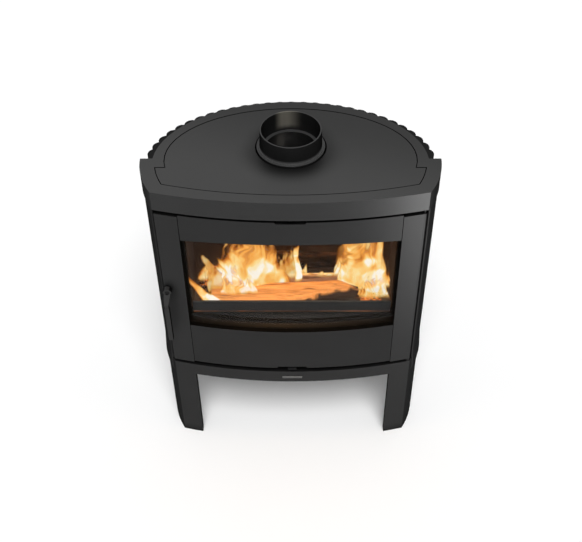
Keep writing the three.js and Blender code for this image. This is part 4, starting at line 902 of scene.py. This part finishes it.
# tongues are (middle, height, half width, lean), in metres, along a curtain that stands at y
fire = dict(bow=0.002, foot=0.474, ragged=0.8, bright=1.05, thick=0.97, heat=0.9, slope=0.0, point=0.8,
            hotPlace=(0.0, 0.0001))
curtains = {
    "flame_left": dict(fire, y=-0.052, bow=0.01, seed=3.1, ragged=0.75, fine=30.0, bright=1.0, heat=1.02,
        hotPlace=(-0.168, 0.03), tongues=((-0.192, 0.12, 0.024, 0.1), (-0.16, 0.19, 0.028, 0.18),
        (-0.128, 0.25, 0.032, -0.06), (-0.09, 0.26, 0.032, 0.08), (-0.056, 0.205, 0.026, -0.1),
        (-0.026, 0.12, 0.02, -0.12))),
    "flame_left_rear": dict(fire, y=-0.012, bow=-0.01, seed=8.4, fine=24.0, bright=0.92, thick=0.92,
        tongues=((-0.232, 0.085, 0.02, 0.15), (-0.16, 0.19, 0.038, 0.12), (-0.108, 0.235, 0.036, -0.06),
        (-0.055, 0.15, 0.03, -0.14))),
    "flame_left_wisp": dict(fire, y=-0.066, bow=0.004, seed=40.3, ragged=1.0, fine=30.0, bright=0.85,
        thick=0.75, heat=0.85, slope=-0.36, point=1.6, tongues=((-0.176, 0.175, 0.024, 0.0),
        (-0.196, 0.095, 0.02, 0.0))),
    "flame_left_core": dict(fire, y=-0.088, bow=0.003, foot=0.494, seed=47.9, ragged=1.1, fine=46.0,
        thick=0.8, heat=1.3, point=2.0, tongues=((-0.172, 0.105, 0.02, -0.1), (-0.146, 0.12, 0.022, 0.1),
        (-0.112, 0.08, 0.02, 0.1))),
    "flame_left_lick": dict(fire, y=-0.109, foot=0.473, seed=5.7, ragged=0.3, fine=34.0, thick=0.95,
        heat=1.45, slope=-0.44, tongues=((-0.212, 0.158, 0.014, 0.0), (-0.196, 0.07, 0.013, 0.2))),
    "flame_middle": dict(fire, y=-0.04, foot=0.49, seed=12.9, ragged=0.5, fine=40.0, heat=1.2, point=1.1,
        tongues=((0.016, 0.18, 0.008, 0.05),)),
    "flame_middle_edge": dict(fire, y=-0.034, foot=0.5, seed=14.1, fine=32.0, bright=0.9, thick=0.85,
        point=1.4, tongues=((-0.006, 0.13, 0.018, 0.25), (-0.024, 0.09, 0.014, -0.1))),
    "flame_low": dict(fire, y=-0.034, foot=0.508, seed=17.3, ragged=0.9, fine=40.0, bright=0.97, thick=0.95,
        heat=1.0, point=1.8, tongues=((0.03, 0.05, 0.012, 0.3), (0.052, 0.028, 0.012, -0.2),
        (0.074, 0.034, 0.011, 0.2), (0.096, 0.03, 0.012, 0.3), (0.122, 0.08, 0.018, 0.3))),
    "flame_right": dict(fire, y=-0.052, bow=0.008, seed=21.6, ragged=0.7, fine=28.0, bright=1.0, heat=1.0,
        hotPlace=(0.236, 0.018), tongues=((0.146, 0.15, 0.02, -0.06), (0.178, 0.25, 0.028, -0.05),
        (0.212, 0.29, 0.028, 0.04), (0.24, 0.125, 0.02, -0.1))),
    "flame_right_front": dict(fire, y=-0.082, foot=0.473, seed=23.8, ragged=1.1, fine=40.0, bright=1.02,
        thick=0.85, heat=1.12, point=1.8, tongues=((0.194, 0.06, 0.02, -0.1), (0.22, 0.1, 0.026, -0.2),
        (0.244, 0.105, 0.016, 0.0))),
    "flame_right_rear": dict(fire, y=-0.01, bow=-0.008, seed=26.2, fine=24.0, bright=0.9, thick=0.92,
        tongues=((0.158, 0.19, 0.032, -0.14), (0.212, 0.24, 0.03, -0.05))),
    "flame_back": dict(fire, y=0.03, bow=-0.006, foot=0.48, seed=31.5, ragged=0.9, fine=18.0, bright=0.5,
        thick=0.75, heat=0.55, tongues=((-0.12, 0.14, 0.05, 0.1), (0.165, 0.14, 0.036, -0.1))),
}


# how the curtains are shaped; lengths in metres
curtainShape = dict(columns=90, rows=24, spread=1.5, fringe=1.2, curl=0.012, curlUp=38, curlAlong=20, lean=0.5,
                    openOut=3, drift=0.006, driftAlong=16, driftUp=10, lowest=0.001, furthest=2.0)


def reachAt(settings, x):
    # height of the fire and its nearness to a fringe at one place along the curtain
    height, fringe = 0.0, 0.0
    for middle, tall, half, _ in settings["tongues"]:
        near = abs(x - middle) / (half * curtainShape["spread"])
        if near < 1:
            swell = math.cos(near * math.pi / 2)
            height = max(height, tall * swell ** settings["point"])
            fringe = max(fringe, curtainShape["fringe"] * swell)
    return height, fringe


def buildCurtain(name, settings):
    tongues, slope, seed = settings["tongues"], settings["slope"], settings["seed"]
    shape = curtainShape
    columns, rows, spread = shape["columns"], shape["rows"], shape["spread"]
    tall = max(height for _, height, _, _ in tongues)
    left = min(middle - half * spread for middle, _, half, _ in tongues) + min(0.0, slope * tall)
    right = max(middle + half * spread for middle, _, half, _ in tongues) + max(0.0, slope * tall)
    vertices, faces = [], []
    values = {"along": [], "rise": [], "fringe": [], "height": []}
    for i in range(columns + 1):
        x = left + (right - left) * i / columns
        # each level looks up the tongue that leans over this place
        lean = sum(item[3] * math.exp(-((x - item[0]) / item[2]) ** 2) for item in tongues)
        for k in range(rows + 1):
            up = tall * k / rows
            curl = shape["curl"] * (up / tall) * math.sin(up * shape["curlUp"] + seed + x * shape["curlAlong"])
            height, fringe = reachAt(settings, x - lean * up * shape["lean"] - curl - slope * up)
            bow = math.cos((x - left) / (right - left) * math.pi * 2) * (1 + up * shape["openOut"])
            place = Vector((x * shape["driftAlong"], up * shape["driftUp"], seed))
            y = settings["y"] + settings["bow"] * bow + shape["drift"] * noise.noise(place)
            vertices.append((x, y, settings["foot"] + up))
            rise = min(up / max(height, shape["lowest"]), shape["furthest"])
            for entries, value in zip(values.values(), (x, rise, fringe, up)):
                entries.append(value)
    for i in range(columns):
        for k in range(rows):
            a = i * (rows + 1) + k
            faces.append((a, a + rows + 1, a + rows + 2, a + 1))
    piece = addPiece(name, vertices, faces, flameFinish(name, settings))
    for label, entries in values.items():
        piece.data.attributes.new(label, "FLOAT", "POINT").data.foreach_set("value", entries)
    piece.visible_shadow = False


for name, settings in curtains.items():
    buildCurtain(name, settings)
print("fire lit")


# studio: places in metres, angles in degrees

studio = dict(
    cameraPlace=(0.03112, -1.85575, 2.34822), cameraTilt=44.89, lens=59.06, sensor=36.0, shiftX=-0.0217,
    shiftY=0.0064, floorSize=60.0, floorColour=grey(0.9), skyStrength=0.36,
)
suns = {
    "frontSun": dict(tilt=31.0, turn=6.0, strength=2.72, angle=28.0),
    "topSun": dict(tilt=-12.0, turn=0.0, strength=0.15, angle=70.0),
}
lamps = {
    "sideCard": dict(place=(1.02, -0.98, 0.05), aim=(0.3, -0.17, 0.88), size=0.5, power=30.0,
        colour=(1, 1, 1), glossOnly=True),
    "lowCard": dict(place=(0.82, -0.72, 0.04), aim=(0.35, -0.16, 0.75), size=0.34, power=4.5,
        colour=(1, 1, 1), glossOnly=True),
    "fireGlow": dict(place=(0.0, -0.118, 0.745), aim=(0.0, -0.05, 0.48), size=0.3, power=1.0,
        colour=(1.0, 0.6, 0.28)),
    "fireHeart": dict(place=(-0.08, 0.02, 0.6), aim=(0.0, 0.0, 0.47), size=0.2, power=0.5,
        colour=(1.0, 0.5, 0.18)),
}


def placeInScene(name, data, place=(0, 0, 0), turn=(0, 0, 0)):
    thing = setAll(bpy.data.objects.new(name, data), location=place, rotation_euler=turn)
    scene.collection.objects.link(thing)
    return thing


def buildCamera():
    lens = setAll(bpy.data.cameras.new("camera"), sensor_width=studio["sensor"], sensor_fit="HORIZONTAL",
                  lens=studio["lens"], shift_x=studio["shiftX"], shift_y=studio["shiftY"])
    turn = (math.radians(studio["cameraTilt"]), 0, 0)
    scene.camera = placeInScene("camera", lens, studio["cameraPlace"], turn)


def buildFloor():
    half = studio["floorSize"] / 2
    mesh = bpy.data.meshes.new("floor")
    corners = [(-half, -half, 0), (half, -half, 0), (half, half, 0), (-half, half, 0)]
    mesh.from_pydata(corners, [], [(0, 1, 2, 3)])
    material = newMaterial("floor", Roughness=0.9, Specular_IOR_Level=0.1,
                           Base_Color=(*studio["floorColour"], 1))[0]
    mesh.materials.append(material)
    placeInScene("floor", mesh)


def buildLamp(name, settings):
    lamp = setAll(bpy.data.lights.new(name, "AREA"), size=settings["size"], energy=settings["power"],
                  color=settings["colour"])
    aim = Vector(settings["aim"]) - Vector(settings["place"])
    light = placeInScene(name, lamp, settings["place"], aim.to_track_quat("-Z", "Y").to_euler())
    setAll(light, visible_camera=False, visible_transmission=False,
           visible_diffuse=not settings.get("glossOnly", False))


def buildSun(name, settings):
    lamp = setAll(bpy.data.lights.new(name, "SUN"), energy=settings["strength"],
                  angle=math.radians(settings["angle"]))
    turn = (math.radians(settings["tilt"]), 0, math.radians(settings["turn"]))
    placeInScene(name, lamp, turn=turn)


def buildSky():
    world = bpy.data.worlds.new("studio")
    world.use_nodes = True
    tree = world.node_tree
    background = tree.nodes["Background"].inputs
    background["Color"].default_value = (1, 1, 1, 1)
    # the eye, the gloss and the glass see a white room
    rays = addNode(tree, "LightPath").outputs
    seen = calc("MAXIMUM", rays["Is Camera Ray"],
                calc("MAXIMUM", rays["Is Glossy Ray"], rays["Is Transmission Ray"]))
    plug(ramp(seen, 0.0, 1.0, studio["skyStrength"], 1.0), background["Strength"])
    scene.world = world


buildCamera()
buildFloor()
for name, settings in suns.items():
    buildSun(name, settings)
for name, settings in lamps.items():
    buildLamp(name, settings)
buildSky()
scene.view_settings.view_transform = "Standard"
print("studio set")
